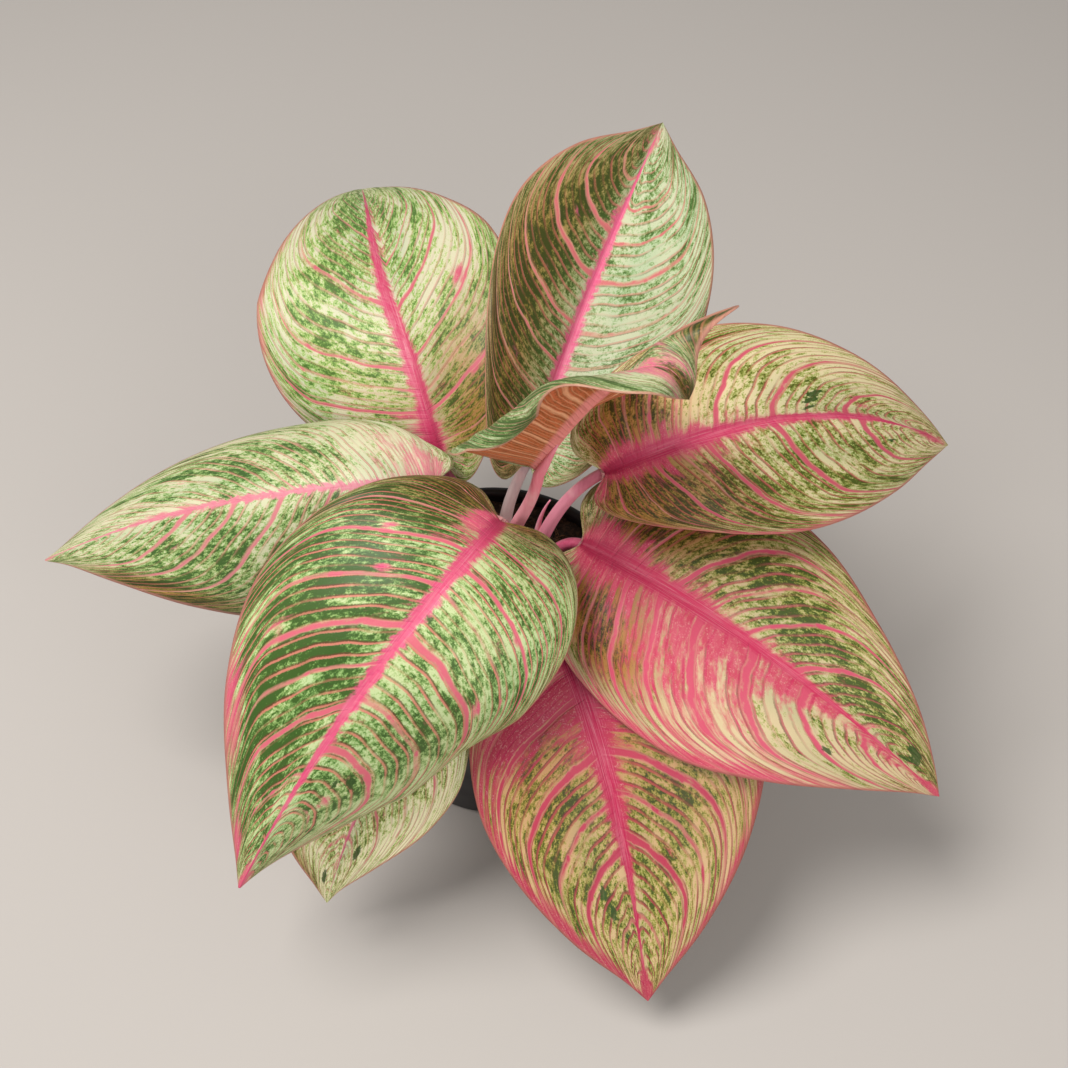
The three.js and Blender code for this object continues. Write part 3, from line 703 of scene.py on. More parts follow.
def blade_normal(leaf, u, t, x):
    """Ways out of the bent blade, from two short steps along and across it."""
    step = 0.004
    low_u = np.clip(u - step, 0, 1)
    high_u = np.clip(u + step, 0, 1)
    low_t = np.clip(t - 2 * step, -1, 1)
    high_t = np.clip(t + 2 * step, -1, 1)
    held_u = np.clip(u, 0.01, 0.985)
    along = blade_place(leaf, high_u, t)[0] - blade_place(leaf, low_u, t)[0]
    over = blade_place(leaf, held_u, high_t)[0] - blade_place(leaf, held_u, low_t)[0]
    at_end = (u < 1e-6) | (u > 1 - 1e-6)
    along = np.where(at_end[:, None], spine_at(leaf["spine"], x)[1], along)
    return unit(np.cross(along, over))


def blade_skin(leaf, u, t, top):
    """Places in mm on the blade's two faces: puffed between veins, ribbed below and thin at the edge."""
    middle, x, y = blade_place(leaf, u, t)
    left = t >= 0
    onward = 1 - np.clip(x / spine_length(leaf["spine"]), 0, 1)
    edge = np.clip((1 - np.abs(t)) / BLADE_EDGE, 0, 1)
    from_rib = np.clip(y / (2 * RIB_HALF_WIDTH), 0, 1)
    puff = VEIN_PUFF * puffed(leaf, vein_station(leaf, u, t, left), left) * edge * from_rib
    groove = RIB_GROOVE * np.exp(-((y / GROOVE_REACH) ** 2)) * onward**0.4
    thick = BLADE_THICK / 2 * (EDGE_SHARE + (1 - EDGE_SHARE) * edge)
    rib = RIB_HEIGHT * onward**0.7 * np.maximum(0, 1 - y / RIB_HALF_WIDTH)
    raised = np.where(top, thick + puff - groove, puff - thick - rib)
    return middle + blade_normal(leaf, u, t, x) * raised[:, None]


def leaf_maps(leaf, mesh, u, t, loops):
    """Two maps for the markings: one by rows of veins and one of the leaf laid flat, in units of 100 mm."""
    late = np.clip((u - 0.55) / 0.35, 0, 1)
    marked = t - leaf.get("drift", 0) * late**2 * (3 - 2 * late) * (1 - t**2)
    left_face = np.repeat(marked[loops.reshape(-1, 4)].mean(1) >= 0, 4)
    x, y, unused = flat_place(leaf, spine_length(leaf["spine"]), u, marked)
    across = marked[loops]
    by_veins = (vein_station(leaf, u[loops], across, left_face), across)
    laid_flat = (x[loops] / 100, np.where(left_face, 1, -1) * y[loops] / 100)
    for name, pair in (("veins", by_veins), ("flat", laid_flat)):
        uv = mesh.uv_layers.new(name=name)
        uv.data.foreach_set("uv", np.stack(pair, -1).ravel().astype(np.float32))


def leaf_blade(leaf):
    """A thin closed blade: a fine grid drawn out to a second face, then bent over the leaf's spine."""
    bm = bmesh.new()
    bmesh.ops.create_grid(bm, x_segments=BLADE_ROWS, y_segments=BLADE_COLUMNS, size=1)
    drawn = bmesh.ops.extrude_face_region(bm, geom=bm.faces[:], use_keep_orig=True)
    upper = [v for v in drawn["geom"] if isinstance(v, bmesh.types.BMVert)]
    bmesh.ops.translate(bm, verts=upper, vec=(0, 0, 1))
    bmesh.ops.recalc_face_normals(bm, faces=bm.faces[:])
    piece = piece_from(bm, "leaf_" + leaf["name"], ["blade_" + leaf["name"]])
    mesh = piece.data
    raw = np.zeros(len(mesh.vertices) * 3)
    mesh.vertices.foreach_get("co", raw)
    raw = raw.reshape(-1, 3)
    row = (raw[:, 0] + 1) / 2
    u = 1 - (1 - row) ** 1.5
    t = raw[:, 1]
    top = raw[:, 2] > 0.5
    mesh.vertices.foreach_set("co", (blade_skin(leaf, u, t, top) * MM).ravel())
    for kind in WASHES:
        patches = leaf["washes"].get(kind, [])
        attribute = mesh.attributes.new(kind, "FLOAT", "POINT")
        attribute.data.foreach_set("value", wash_amount(patches, u, t).astype(np.float32))
    loops = np.zeros(len(mesh.loops), int)
    mesh.loops.foreach_get("vertex_index", loops)
    leaf_maps(leaf, mesh, u, t, loops)
    under_side = (~top[loops.reshape(-1, 4)]).all(1)
    mesh.polygons.foreach_set("material_index", under_side.astype(np.int32))
    mesh.update()
    mesh.materials.append(upper_finish(leaf))
    mesh.materials.append(under_finish(leaf))


def ring_frame(control, t):
    """Points along a curve with two directions across it that do not twist."""
    slopes = bezier_slope(control, t)
    side = np.array([0.0, 1.0, 0.0])
    sides = []
    for slope in slopes:
        side = side - side.dot(slope) * slope
        side = side / np.linalg.norm(side)
        sides.append(side)
    sides = np.array(sides)
    return bezier(control, t), sides, np.cross(slopes, sides)


def tube(bm, centres, sides, others, radii, facets, section=None):
    """Draws a ring of edges from one place to the next and closes both ends."""
    made = bmesh.ops.create_circle(bm, cap_ends=False, segments=facets, radius=1)
    ring = sorted(made["verts"], key=lambda v: math.atan2(v.co.y, v.co.x))
    start = list(ring)
    angles = [math.atan2(v.co.y, v.co.x) for v in ring]
    for i, centre in enumerate(centres):
        if i > 0:
            edges = [bm.edges.get((ring[j], ring[j - 1])) for j in range(facets)]
            drawn = bmesh.ops.extrude_edge_only(bm, edges=edges)
            moved = [v for v in drawn["geom"] if isinstance(v, bmesh.types.BMVert)]
            nearest = {tuple(round(c, 9) for c in v.co): v for v in moved}
            ring = [nearest[tuple(round(c, 9) for c in v.co)] for v in ring]
        for vertex, angle in zip(ring, angles):
            reach = radii[i] * (section(i / (len(centres) - 1), angle) if section else 1)
            spot = centre + (sides[i] * math.cos(angle) + others[i] * math.sin(angle)) * reach
            vertex.co = Vector(spot) * MM
    bmesh.ops.contextual_create(bm, geom=start)
    bmesh.ops.contextual_create(bm, geom=ring)


def stalk_control(leaf):
    """The curve of a leaf's stalk from the cane to the blade, with the ways up and out, as in the solids."""
    slope = bezier_slope(leaf["spine"], 0.0)
    up = np.array(leaf["face"][0], float)
    up = unit(up - up.dot(slope) * slope)
    back, below = leaf.get("neck", (NECK_BACK, NECK_BELOW))
    neck = np.array(leaf["spine"][0], float) - slope * back - up * below
    foot = np.array([CANE_X, CANE_Y, CANE_TOP + STALK_GAP], float)
    outward = np.zeros(3)
    if leaf["foot"] is not None:
        turn = math.radians(leaf["foot"])
        outward = np.array([math.cos(turn), math.sin(turn), 0.0])
        foot = foot + outward * STALK_RING
        foot[2] = STALK_FOOT_Z
    first = foot + outward * 2 + np.array([0, 0, leaf["rise"]])
    second = neck - slope * NECK_BEND - np.array([0, 0, 3])
    if "reach" in leaf:
        second = neck + np.array(leaf["reach"], float)
    return [foot, first, second, neck], up, outward


def leaf_stalk(leaf):
    """A round stalk with a shallow channel on its inner side, running on under the blade into the rib."""
    control, up, outward = stalk_control(leaf)
    t = np.linspace(0, 1, STALK_RINGS + 1)
    centres, sides, others = ring_frame(control, t)
    radii = STALK_NECK_RADIUS + (STALK_FOOT_RADIUS - STALK_NECK_RADIUS) * (1 - t) ** 1.6
    for ahead, radius in STALK_RUN_ON:
        spot, heading = spine_at(leaf["spine"], np.array(float(ahead)))
        above = unit(up - up.dot(heading) * heading)
        centres = np.vstack([centres, spot - above * (radius + STALK_BELOW_FACE)])
        sides = np.vstack([sides, sides[-1]])
        others = np.vstack([others, others[-1]])
        radii = np.append(radii, radius)
    foot = control[0] - outward * 1.6 - np.array([0, 0, 2.2])
    if leaf["foot"] is None:
        foot = control[0] - np.array([0, 0, 3.0])
    centres = np.vstack([foot, centres])
    sides = np.vstack([sides[0], sides])
    others = np.vstack([others[0], others])
    radii = np.insert(radii, 0, STALK_FOOT_RADIUS)
    inward = [math.atan2(float(-outward.dot(o)), float(-outward.dot(s))) for s, o in zip(sides, others)]
    count = len(centres) - 1

    def section(share, angle):
        i = round(share * count)
        turn = (angle - inward[i] + math.pi) % (2 * math.pi) - math.pi
        sheath = max(0.0, 1 - share / 0.5)
        channel = 0.12 + 0.1 * sheath
        wings = 0.16 * sheath * math.exp(-(((abs(turn) - 0.62) / 0.16) ** 2))
        return 1 - channel * math.exp(-((turn / 0.42) ** 2)) + wings

    bm = bmesh.new()
    tube(bm, centres, sides, others, radii, STALK_SIDES, section)
    if "tongue" in leaf:
        s = np.linspace(0, 1, TONGUE_RINGS)
        centres, sides, others = ring_frame(leaf["tongue"], s)
        tube(bm, centres, sides, others, 0.3 + 1.7 * (1 - s) ** 1.2, TONGUE_SIDES)
    bmesh.ops.recalc_face_normals(bm, faces=bm.faces[:])
    piece = piece_from(bm, "petiole_" + leaf["name"], ["stalk_" + leaf["name"]])
    piece.data.materials.append(stalk_finish(leaf))


def linear(code):
    """A colour written as #rrggbb, as the shader wants it."""
    parts = [int(code[i : i + 2], 16) / 255 for i in (1, 3, 5)]
    return tuple([p / 12.92 if p < 0.04045 else ((p + 0.055) / 1.055) ** 2.4 for p in parts] + [1.0])


class Finish:
    """One material, with short calls for the nodes that make its pattern."""

    def __init__(self, name):
        self.material = bpy.data.materials.new(name)
        self.material.use_nodes = True
        self.nodes = self.material.node_tree.nodes
        self.links = self.material.node_tree.links
        self.skin = self.nodes["Principled BSDF"]

    def put(self, socket, value):
        if isinstance(value, bpy.types.NodeSocket):
            self.links.new(value, socket)
        elif isinstance(value, str):
            socket.default_value = linear(value)
        else:
            socket.default_value = value

    def math(self, operation, *values):
        node = self.nodes.new("ShaderNodeMath")
        node.operation = operation
        for socket, value in zip(node.inputs, values):
            self.put(socket, value)
        return node.outputs[0]

    def add(self, a, b):
        return self.math("ADD", a, b)

    def times(self, a, b):
        return self.math("MULTIPLY", a, b)

    def spread(self, pattern, amount):
        """A pattern around one half, turned into a push up or down."""
        return self.times(self.add(pattern, -0.5), amount)

    def rise(self, low, high, value, smallest=0.0, largest=1.0):
        """0 below low, 1 above high and a soft step between."""
        node = self.nodes.new("ShaderNodeMapRange")
        node.interpolation_type = "SMOOTHSTEP"
        for name, given in (("Value", value), ("From Min", low), ("From Max", high)):
            self.put(node.inputs[name], given)
        node.inputs["To Min"].default_value = smallest
        node.inputs["To Max"].default_value = largest
        return node.outputs[0]

    def blend(self, share, first, second, way="MIX"):
        node = self.nodes.new("ShaderNodeMix")
        node.data_type = "RGBA"
        node.blend_type = way
        self.put(node.inputs[0], share)
        self.put(node.inputs[6], first)
        self.put(node.inputs[7], second)
        return node.outputs[2]

    def ramp(self, value, stops):
        node = self.nodes.new("ShaderNodeValToRGB")
        while len(node.color_ramp.elements) < len(stops):
            node.color_ramp.elements.new(0.5)
        for element, (place, colour) in zip(node.color_ramp.elements, stops):
            element.position = place
        for element, (place, colour) in zip(node.color_ramp.elements, stops):
            element.color = linear(colour) if isinstance(colour, str) else (colour, colour, colour, 1)
        self.put(node.inputs[0], value)
        return node.outputs[0]

    def stretch(self, vector, scale, move=(0, 0, 0)):
        node = self.nodes.new("ShaderNodeMapping")
        node.inputs["Scale"].default_value = scale
        node.inputs["Location"].default_value = move
        self.put(node.inputs["Vector"], vector)
        return node.outputs[0]

    def noise(self, vector, scale=1.0, detail=2.0, rough=0.5):
        node = self.nodes.new("ShaderNodeTexNoise")
        self.put(node.inputs["Vector"], vector)
        node.inputs["Scale"].default_value = scale
        node.inputs["Detail"].default_value = detail
        node.inputs["Roughness"].default_value = rough
        return node.outputs["Fac"]

    def uv(self, name):
        node = self.nodes.new("ShaderNodeUVMap")
        node.uv_map = name
        return node.outputs[0]

    def attribute(self, name):
        node = self.nodes.new("ShaderNodeAttribute")
        node.attribute_name = name
        return node.outputs["Fac"]

    def parts(self, vector):
        node = self.nodes.new("ShaderNodeSeparateXYZ")
        self.put(node.inputs[0], vector)
        return node.outputs[0], node.outputs[1], node.outputs[2]

    def join(self, x, y, z):
        node = self.nodes.new("ShaderNodeCombineXYZ")
        for socket, value in zip(node.inputs, (x, y, z)):
            self.put(socket, value)
        return node.outputs[0]

    def place(self):
        return self.nodes.new("ShaderNodeTexCoord").outputs["Object"]

    def bump(self, height, distance, strength=1.0):
        node = self.nodes.new("ShaderNodeBump")
        self.put(node.inputs["Height"], height)
        node.inputs["Distance"].default_value = distance
        node.inputs["Strength"].default_value = strength
        self.links.new(node.outputs[0], self.skin.inputs["Normal"])

    def done(self, colour, roughness):
        self.put(self.skin.inputs["Base Color"], colour)
        self.put(self.skin.inputs["Roughness"], roughness)
        return self.material


def vein_stops(veins, reach):
    """Ramp stops for a row of veins: 0 beside each vein and its strength on it."""
    stops = [(0.0, 0.0)]
    for i, (station, strength) in enumerate(veins):
        half = reach * (0.45 + 0.55 * strength)
        low = station - half
        high = station + half
        if i > 0:
            low = max(low, (station + veins[i - 1][0]) / 2)
        if i + 1 < len(veins):
            high = min(high, (station + veins[i + 1][0]) / 2)
        stops += [(low, 0.0), (station, strength), (high, 0.0)]
    return stops


def upper_finish(leaf):
    """Upper skin: green flecks between fine veins on a cream ground, then pink flushes, veins and midrib."""
    skin = Finish("upper_" + leaf["name"])
    veins = skin.uv("veins")
    flat = skin.uv("flat")
    station, across, unused = skin.parts(veins)
    along, away, unused = skin.parts(flat)
    apart = skin.math("ABSOLUTE", across)
    from_rib = skin.math("ABSOLUTE", away)
    left = skin.math("GREATER_THAN", across, 0.0)

    slow = skin.spread(skin.noise(skin.stretch(veins, (7, 3, 1)), detail=1), 0.02)
    wavering = skin.add(station, slow)
    rows = skin.times(wavering, FINE_VEINS)
    strip = skin.join(skin.times(skin.math("FLOOR", rows), 3.17), skin.times(across, 3.0), left)
    strip_tone = skin.noise(strip, detail=1)
    line = skin.join(skin.times(skin.math("ROUND", rows), 2.63), skin.times(across, 2.2), left)
    line_tone = skin.noise(line, detail=1)
    streak = skin.noise(skin.stretch(veins, (70, 7, 1)), detail=2, rough=0.6)
    fleck = skin.noise(skin.stretch(veins, (165, 26, 1)), detail=3, rough=0.65)
    patch = skin.noise(skin.stretch(veins, (15, 3, 1)), detail=2)
    hue = skin.noise(skin.stretch(veins, (6, 2, 1), (4, 1, 0)), detail=1)
    grain = skin.noise(skin.stretch(flat, (170, 170, 1)), detail=1)
    near_rib = skin.math("EXPONENT", skin.times(apart, -11.0))
    brown_and_shade = skin.attribute("brown_and_shade")
    pink = skin.attribute("pink")

    # Ground: four tones from cream to deep green
    parts = [
        skin.spread(fleck, 1.25),
        skin.spread(streak, 0.95),
        skin.spread(strip_tone, 0.7),
        skin.spread(patch, 0.75),
        skin.spread(grain, 0.45),
        skin.times(skin.attribute("deep"), 0.3),
        skin.times(skin.attribute("cream"), -0.35),
        skin.times(brown_and_shade, 0.06),
        skin.times(pink, -0.16),
        skin.times(near_rib, -0.16),
    ]
    right_density = leaf["density"][1]
    tone = skin.add(right_density, skin.times(left, leaf["density"][0] - right_density))
    for part in parts:
        tone = skin.add(tone, part)
    ground = skin.ramp(tone, list(zip(TONE_STEPS, reversed(leaf["greens"]))))
    ground = skin.blend(skin.rise(0.45, 0.7, hue, 0.0, 0.5), ground, COOL_TINT, "MULTIPLY")
    # Painted shade, with the leaf's own reddish-brown: the brown washes darken and warm the ground
    ground = skin.blend(skin.rise(0, 1, brown_and_shade), ground, BROWN_AND_SHADE_TINT, "MULTIPLY")

    # Fine veins, each with a thin dark line beside it
    turn = skin.times(skin.add(rows, skin.spread(grain, 0.16)), 2 * math.pi)
    ridge = skin.add(skin.math("COSINE", turn), skin.times(brown_and_shade, 0.14))
    faint = skin.noise(skin.stretch(veins, (30, 3.5, 1), (3, 7, 0)), detail=1)
    faint = skin.rise(0.3, 0.55, faint, 0.55, 1.0)
    faint = skin.times(faint, skin.rise(0.36, 0.56, line_tone, 0.25, 1.0))
    fine = skin.times(skin.rise(0.66, 0.98, ridge), faint)
    etched = skin.times(skin.rise(0.74, 0.99, skin.math("COSINE", skin.add(turn, 0.95))), faint)
    # Fine veins turn brown under the brown washes, partly own colour and partly painted shade
    fine_colour = skin.blend(skin.rise(0, 1, brown_and_shade, 0.0, 0.8), leaf["fine"], FINE_BROWN_AND_SHADE)
    colour = skin.blend(skin.times(etched, leaf["fine_share"]), ground, leaf["line"])
    colour = skin.blend(skin.times(fine, 1.15 * leaf["fine_share"]), colour, fine_colour)

    # Flushes of pink in streaks along the veins, with paler flecks and darker fine veins in them
    ragged = skin.noise(skin.stretch(veins, (110, 8, 1), (5, 2, 0)), detail=3, rough=0.7)
    flush = skin.add(pink, skin.times(near_rib, 0.42))
    flush = skin.add(flush, skin.add(skin.spread(ragged, 1.6), skin.spread(strip_tone, 1.3)))
    flush = skin.rise(0.3, 0.95, flush)
    flush_colour = skin.blend(skin.rise(0.4, 0.62, streak), leaf["vein"], leaf["midrib"])
    pale_spot = skin.add(skin.times(fleck, 0.6), skin.times(grain, 0.4))
    pale = skin.blend(0.6, leaf["vein"], FLUSH_PALE)
    flush_colour = skin.blend(skin.rise(0.5, 0.68, pale_spot, 0.0, 0.65), flush_colour, pale)
    colour = skin.blend(skin.times(flush, 0.92), colour, flush_colour)
    colour = skin.blend(skin.times(skin.times(flush, fine), 0.5), colour, leaf["midrib"])

    # Broad veins, ragged at their edges, with thicker knots and widest by the midrib
    left_veins = skin.ramp(wavering, vein_stops(leaf["veins"][0], leaf["vein_width"][0]))
    right_veins = skin.ramp(wavering, vein_stops(leaf["veins"][1], leaf["vein_width"][1]))
    broad = skin.blend(left, right_veins, left_veins)
    knots = skin.rise(0.56, 0.72, skin.noise(skin.stretch(veins, (34, 9, 1), (2, 4, 0)), detail=2), 0.0, 0.9)
    thick = skin.add(skin.add(0.8, skin.spread(ragged, 1.7)), skin.add(knots, skin.times(near_rib, 1.3)))
    broad = skin.times(broad, skin.times(thick, skin.rise(1.02, 0.7, apart, 0.5, 1.0)))
    halo = skin.rise(0.06, 0.34, broad)
    core = skin.rise(0.24, 0.56, broad)
    halo_colour = skin.blend(0.45, leaf["vein"], HALO_TAN)
    colour = skin.blend(skin.times(halo, 0.7), colour, halo_colour)
    colour = skin.blend(skin.times(core, 0.9), colour, leaf["vein"])

    # Midrib: feathered where veins leave it, tapering to the tip, deepest in colour at its foot
    length = spine_length(leaf["spine"]) / 100
    wide, narrow = leaf["rib_width"]
    half = skin.rise(0.0, length, along, wide / 100, narrow / 100)
    feather = skin.noise(skin.stretch(veins, (95, 12, 1), (1, 9, 0)), detail=3, rough=0.75)
    frayed = skin.math("DIVIDE", skin.add(from_rib, skin.spread(feather, 0.08)), half)
    shared = skin.add(skin.times(apart, 1 / 0.07), skin.spread(feather, 2.2))
    inside = skin.math("MAXIMUM", frayed, shared)
    rib = skin.rise(1.45, 0.6, inside)
    streaks = skin.noise(skin.stretch(flat, (6, 260, 1)), detail=2)
    pale_rib = skin.blend(0.4, leaf["midrib"], RIB_PALE)
    rib_colour = skin.blend(skin.rise(0.4, 0.8, streaks), leaf["midrib"], pale_rib)
    at_foot = skin.rise(0.6, 0.2, station, 0.0, leaf["rib_deep"])
    rib_colour = skin.blend(at_foot, rib_colour, RIB_FOOT)
    colour = skin.blend(skin.times(rib, 0.95), colour, rib_colour)

    # Solid dark green marks, and a thin paler line round the margin
    blotch = skin.add(skin.attribute("blotch"), skin.spread(fleck, 1.1))
    colour = skin.blend(skin.rise(0.42, 0.62, blotch, 0.0, 0.9), colour, MARK_GREEN)
    rim = skin.rise(0.972, 0.992, skin.add(apart, skin.spread(streak, 0.02)))
    rim_colour = skin.blend(0.45, leaf["vein"], RIM_TAN)
    colour = skin.blend(skin.times(rim, 0.8), colour, rim_colour)

    height = skin.add(skin.times(fine, -0.5), skin.times(grain, 0.3))
    height = skin.add(height, skin.times(halo, -0.6))
    skin.bump(height, 0.00025, 0.7)
    rough = skin.add(0.36, skin.times(streak, 0.18))
    skin.skin.inputs["Specular IOR Level"].default_value = 0.32
    return skin.done(colour, rough)


# Underside tones: body, stripe, vein and midrib. The centre leaf's bright orange and salmon midrib are painted
# light shining through the backlit leaf, over its own reddish underside colour
UNDER_TONES = {
    "centre": ("#c4683c", "#96501f", "#f0b084", "#e88a84"),
    "other": ("#9a7a4c", "#74703a", "#c99080", "#cf8f8c"),
}


def under_finish(leaf):
    """Lower skin with raised pale veins. Leaves other than the young one share a duller one; the young one's
    bright orange is painted light shining through the leaf, over its own reddish underside.
    """
    kind = "centre" if leaf["name"] == "centre" else "other"
    name = "under_" + kind
    if name in bpy.data.materials:
        return bpy.data.materials[name]
    body, stripe, vein, rib_tone = UNDER_TONES[kind]
    skin = Finish(name)
    veins = skin.uv("veins")
    station, across, unused = skin.parts(veins)
    away = skin.parts(skin.uv("flat"))[1]
    slow = skin.spread(skin.noise(skin.stretch(veins, (7, 3, 1)), detail=1), 0.03)
    turn = skin.times(skin.add(station, slow), 2 * math.pi)
    streak = skin.noise(skin.stretch(veins, (80, 5, 1)), detail=3, rough=0.65)
    fleck = skin.noise(skin.stretch(veins, (150, 40, 1)), detail=2, rough=0.6)
    tone = skin.add(skin.times(streak, 0.6), skin.times(fleck, 0.4))
    colour = skin.blend(skin.rise(0.42, 0.6, tone), body, stripe)
    fine = skin.rise(0.5, 0.97, skin.math("COSINE", skin.times(turn, FINE_VEINS)))
    colour = skin.blend(skin.times(fine, 0.4), colour, vein)
    broad = skin.rise(0.6, 0.97, skin.math("COSINE", skin.times(turn, FINE_VEINS * 0.25)))
    broad = skin.times(broad, skin.rise(0.35, 0.55, streak, 0.6, 1.0))
    colour = skin.blend(skin.times(broad, 0.85), colour, vein)
    rib = skin.rise(0.036, 0.018, skin.math("ABSOLUTE", away))
    colour = skin.blend(rib, colour, rib_tone)
    if kind == "centre":
        blush = skin.add(skin.attribute("pink"), skin.spread(streak, 0.8))
        colour = skin.blend(skin.rise(0.4, 0.8, blush, 0.0, 0.85), colour, "#cf5f68")
        # The brown washes, partly own colour and partly painted shade, turn the underside olive
        colour = skin.blend(skin.rise(0.3, 0.7, skin.attribute("brown_and_shade")), colour, "#84703e")
    rim = skin.rise(0.97, 0.99, skin.math("ABSOLUTE", across))
    colour = skin.blend(skin.times(rim, 0.7), colour, vein)
    height = skin.add(skin.times(broad, 0.7), skin.times(fine, 0.3))
    skin.bump(height, 0.0005, 0.9)
    return skin.done(colour, 0.46)


def stalk_finish(leaf):
    """Smooth stalk: pale in the middle, deeper at its ends, with fine streaks up it."""
    pale, deep = STALK_COLOURS[leaf["name"]]
    skin = Finish("stalk_" + leaf["name"])
    place = skin.place()
    streaks = skin.noise(skin.stretch(place, (900, 900, 60)), detail=2)
    patch = skin.noise(place, 90, detail=2)
    x, y, z = skin.parts(place)
    neck = leaf["spine"][0][2] * MM
    by_blade = skin.rise(neck - 0.03, neck, z)
    by_foot = skin.rise(0.13, 0.105, z)
    share = skin.add(skin.times(by_blade, 0.6), skin.times(by_foot, 0.5))
    share = skin.add(share, skin.times(skin.add(streaks, -0.5), 0.8))
    colour = skin.blend(skin.rise(0.0, 1.0, share), pale, deep)
    colour = skin.blend(skin.rise(0.55, 0.75, patch, 0.0, 0.35), colour, "#f0c9c4")
    skin.bump(streaks, 0.0002, 0.5)
    return skin.done(colour, 0.38)


def pot_radius(z):
    """The pot's outer radius at a height, below its band."""
    return POT_FOOT_RADIUS + (POT_RIM_RADIUS - POT_BAND_OUT - POT_FOOT_RADIUS) * z / POT_HEIGHT


def spun(bm, profile, steps, at=(0, 0)):
    """Spins a profile of (radius, height) in mm about an upright axis and closes the seam and the poles."""
    verts = [bm.verts.new((r * MM, 0, z * MM)) for r, z in profile]
    edges = [bm.edges.new(pair) for pair in zip(verts, verts[1:])]
    bmesh.ops.spin(
        bm, geom=verts + edges, cent=(0, 0, 0), axis=(0, 0, 1), angle=2 * math.pi, steps=steps, use_merge=True
    )
    bmesh.ops.remove_doubles(bm, verts=bm.verts[:], dist=1e-7)
    bmesh.ops.translate(bm, verts=bm.verts[:], vec=(at[0] * MM, at[1] * MM, 0))
    bmesh.ops.recalc_face_normals(bm, faces=bm.faces[:])


def rounded(profile, corner, steps=4):
    """A profile with each corner eased over a short length."""
    points = [profile[0]]
    for before, here, after in zip(profile, profile[1:], profile[2:]):
        a, b, c = (Vector(p) for p in (before, here, after))
        reach = min(corner, (a - b).length * 0.45, (c - b).length * 0.45)
        start = b + (a - b).normalized() * reach
        end = b + (c - b).normalized() * reach
        for i in range(steps + 1):
            w = i / steps
            points.append(tuple(start * (1 - w) ** 2 + b * 2 * w * (1 - w) + end * w * w))
    points.append(profile[-1])
    return points


def pot():
    """Nursery pot: tapered wall, band under the rim, flat foot pierced by drain holes."""
    band = POT_HEIGHT - POT_BAND_DROP
    rim = POT_RIM_RADIUS
    hub = DRAIN_RING - DRAIN_RADIUS - 6
    outside = [
        (hub, 0),
        (POT_FOOT_RADIUS - 1.2, 0),
        (POT_FOOT_RADIUS, 1.4),
        (pot_radius(band), band),
        (rim - 0.5, band + 0.8),
        (rim, POT_HEIGHT - 0.8),
        (rim - 0.8, POT_HEIGHT),
        (rim - POT_WALL - 0.5, POT_HEIGHT),
        (pot_radius(POT_HEIGHT) - POT_WALL, POT_HEIGHT - 1.5),
        (pot_radius(POT_FLOOR) - POT_WALL, POT_FLOOR),
        (hub, POT_FLOOR),
    ]
    bm = bmesh.new()
    spun(bm, [(0, 0)] + rounded(outside, 1.1) + [(0, POT_FLOOR)], POT_STEPS)
    piece = piece_from(bm, "pot_shell", ["pot"])
    drills = bmesh.new()
    for i in range(DRAIN_COUNT):
        turn = 2 * math.pi * i / DRAIN_COUNT + DRAIN_TURN
        spot = Vector((DRAIN_RING * math.cos(turn), DRAIN_RING * math.sin(turn), 1)) * MM
        bmesh.ops.create_cone(
            drills, cap_ends=True, segments=32, radius1=DRAIN_RADIUS * MM, radius2=DRAIN_RADIUS * MM,
            depth=12 * MM, matrix=Matrix.Translation(spot),
        )
    mesh = bpy.data.meshes.new("drills")
    drills.to_mesh(mesh)
    drills.free()
    tool = bpy.data.objects.new("drills", mesh)
    bpy.context.scene.collection.objects.link(tool)
    cut = piece.modifiers.new("drain_holes", "BOOLEAN")
    cut.operation = "DIFFERENCE"
    cut.solver = "EXACT"
    cut.object = tool
    bpy.context.view_layer.update()
    evaluated = piece.evaluated_get(bpy.context.evaluated_depsgraph_get())
    finished = bpy.data.meshes.new_from_object(evaluated)
    piece.modifiers.clear()
    piece.data = finished
    bpy.data.objects.remove(tool)
    finished.materials.clear()
    finished.materials.append(pot_finish())
    finished.set_sharp_from_angle(angle=math.radians(40))


def pot_finish():
    skin = Finish("pot_black")
    place = skin.place()
    cloud = skin.noise(place, 45, detail=4)
    grain = skin.noise(place, 1400, detail=1)
    x, y, z = skin.parts(place)
    dust = skin.times(skin.rise(0.5, 0.75, cloud), skin.rise(0.07, 0.104, z, 0.15, 0.5))
    colour = skin.blend(dust, "#19181a", "#4a4440")
    skin.bump(skin.add(skin.times(grain, 0.3), skin.times(cloud, 0.7)), 0.0002, 0.5)
    return skin.done(colour, skin.rise(0.3, 0.7, cloud, 0.38, 0.58))


def soil_height(x, y):
    """Lumpy top of the soil in mm."""
    r = math.hypot(x, y)
    edge = pot_radius(SOIL_TOP) - POT_WALL - SOIL_GAP
    base = SOIL_TOP + SOIL_MOUND * (1 - min(1, r / edge) ** 2)
    spot = Vector((x, y, 0))
    lumps = 1.3 * noise.noise(spot * 0.12) + 0.9 * noise.noise(spot * 0.33) + 0.55 * noise.noise(spot * 0.85)
    return base + lumps - 0.4


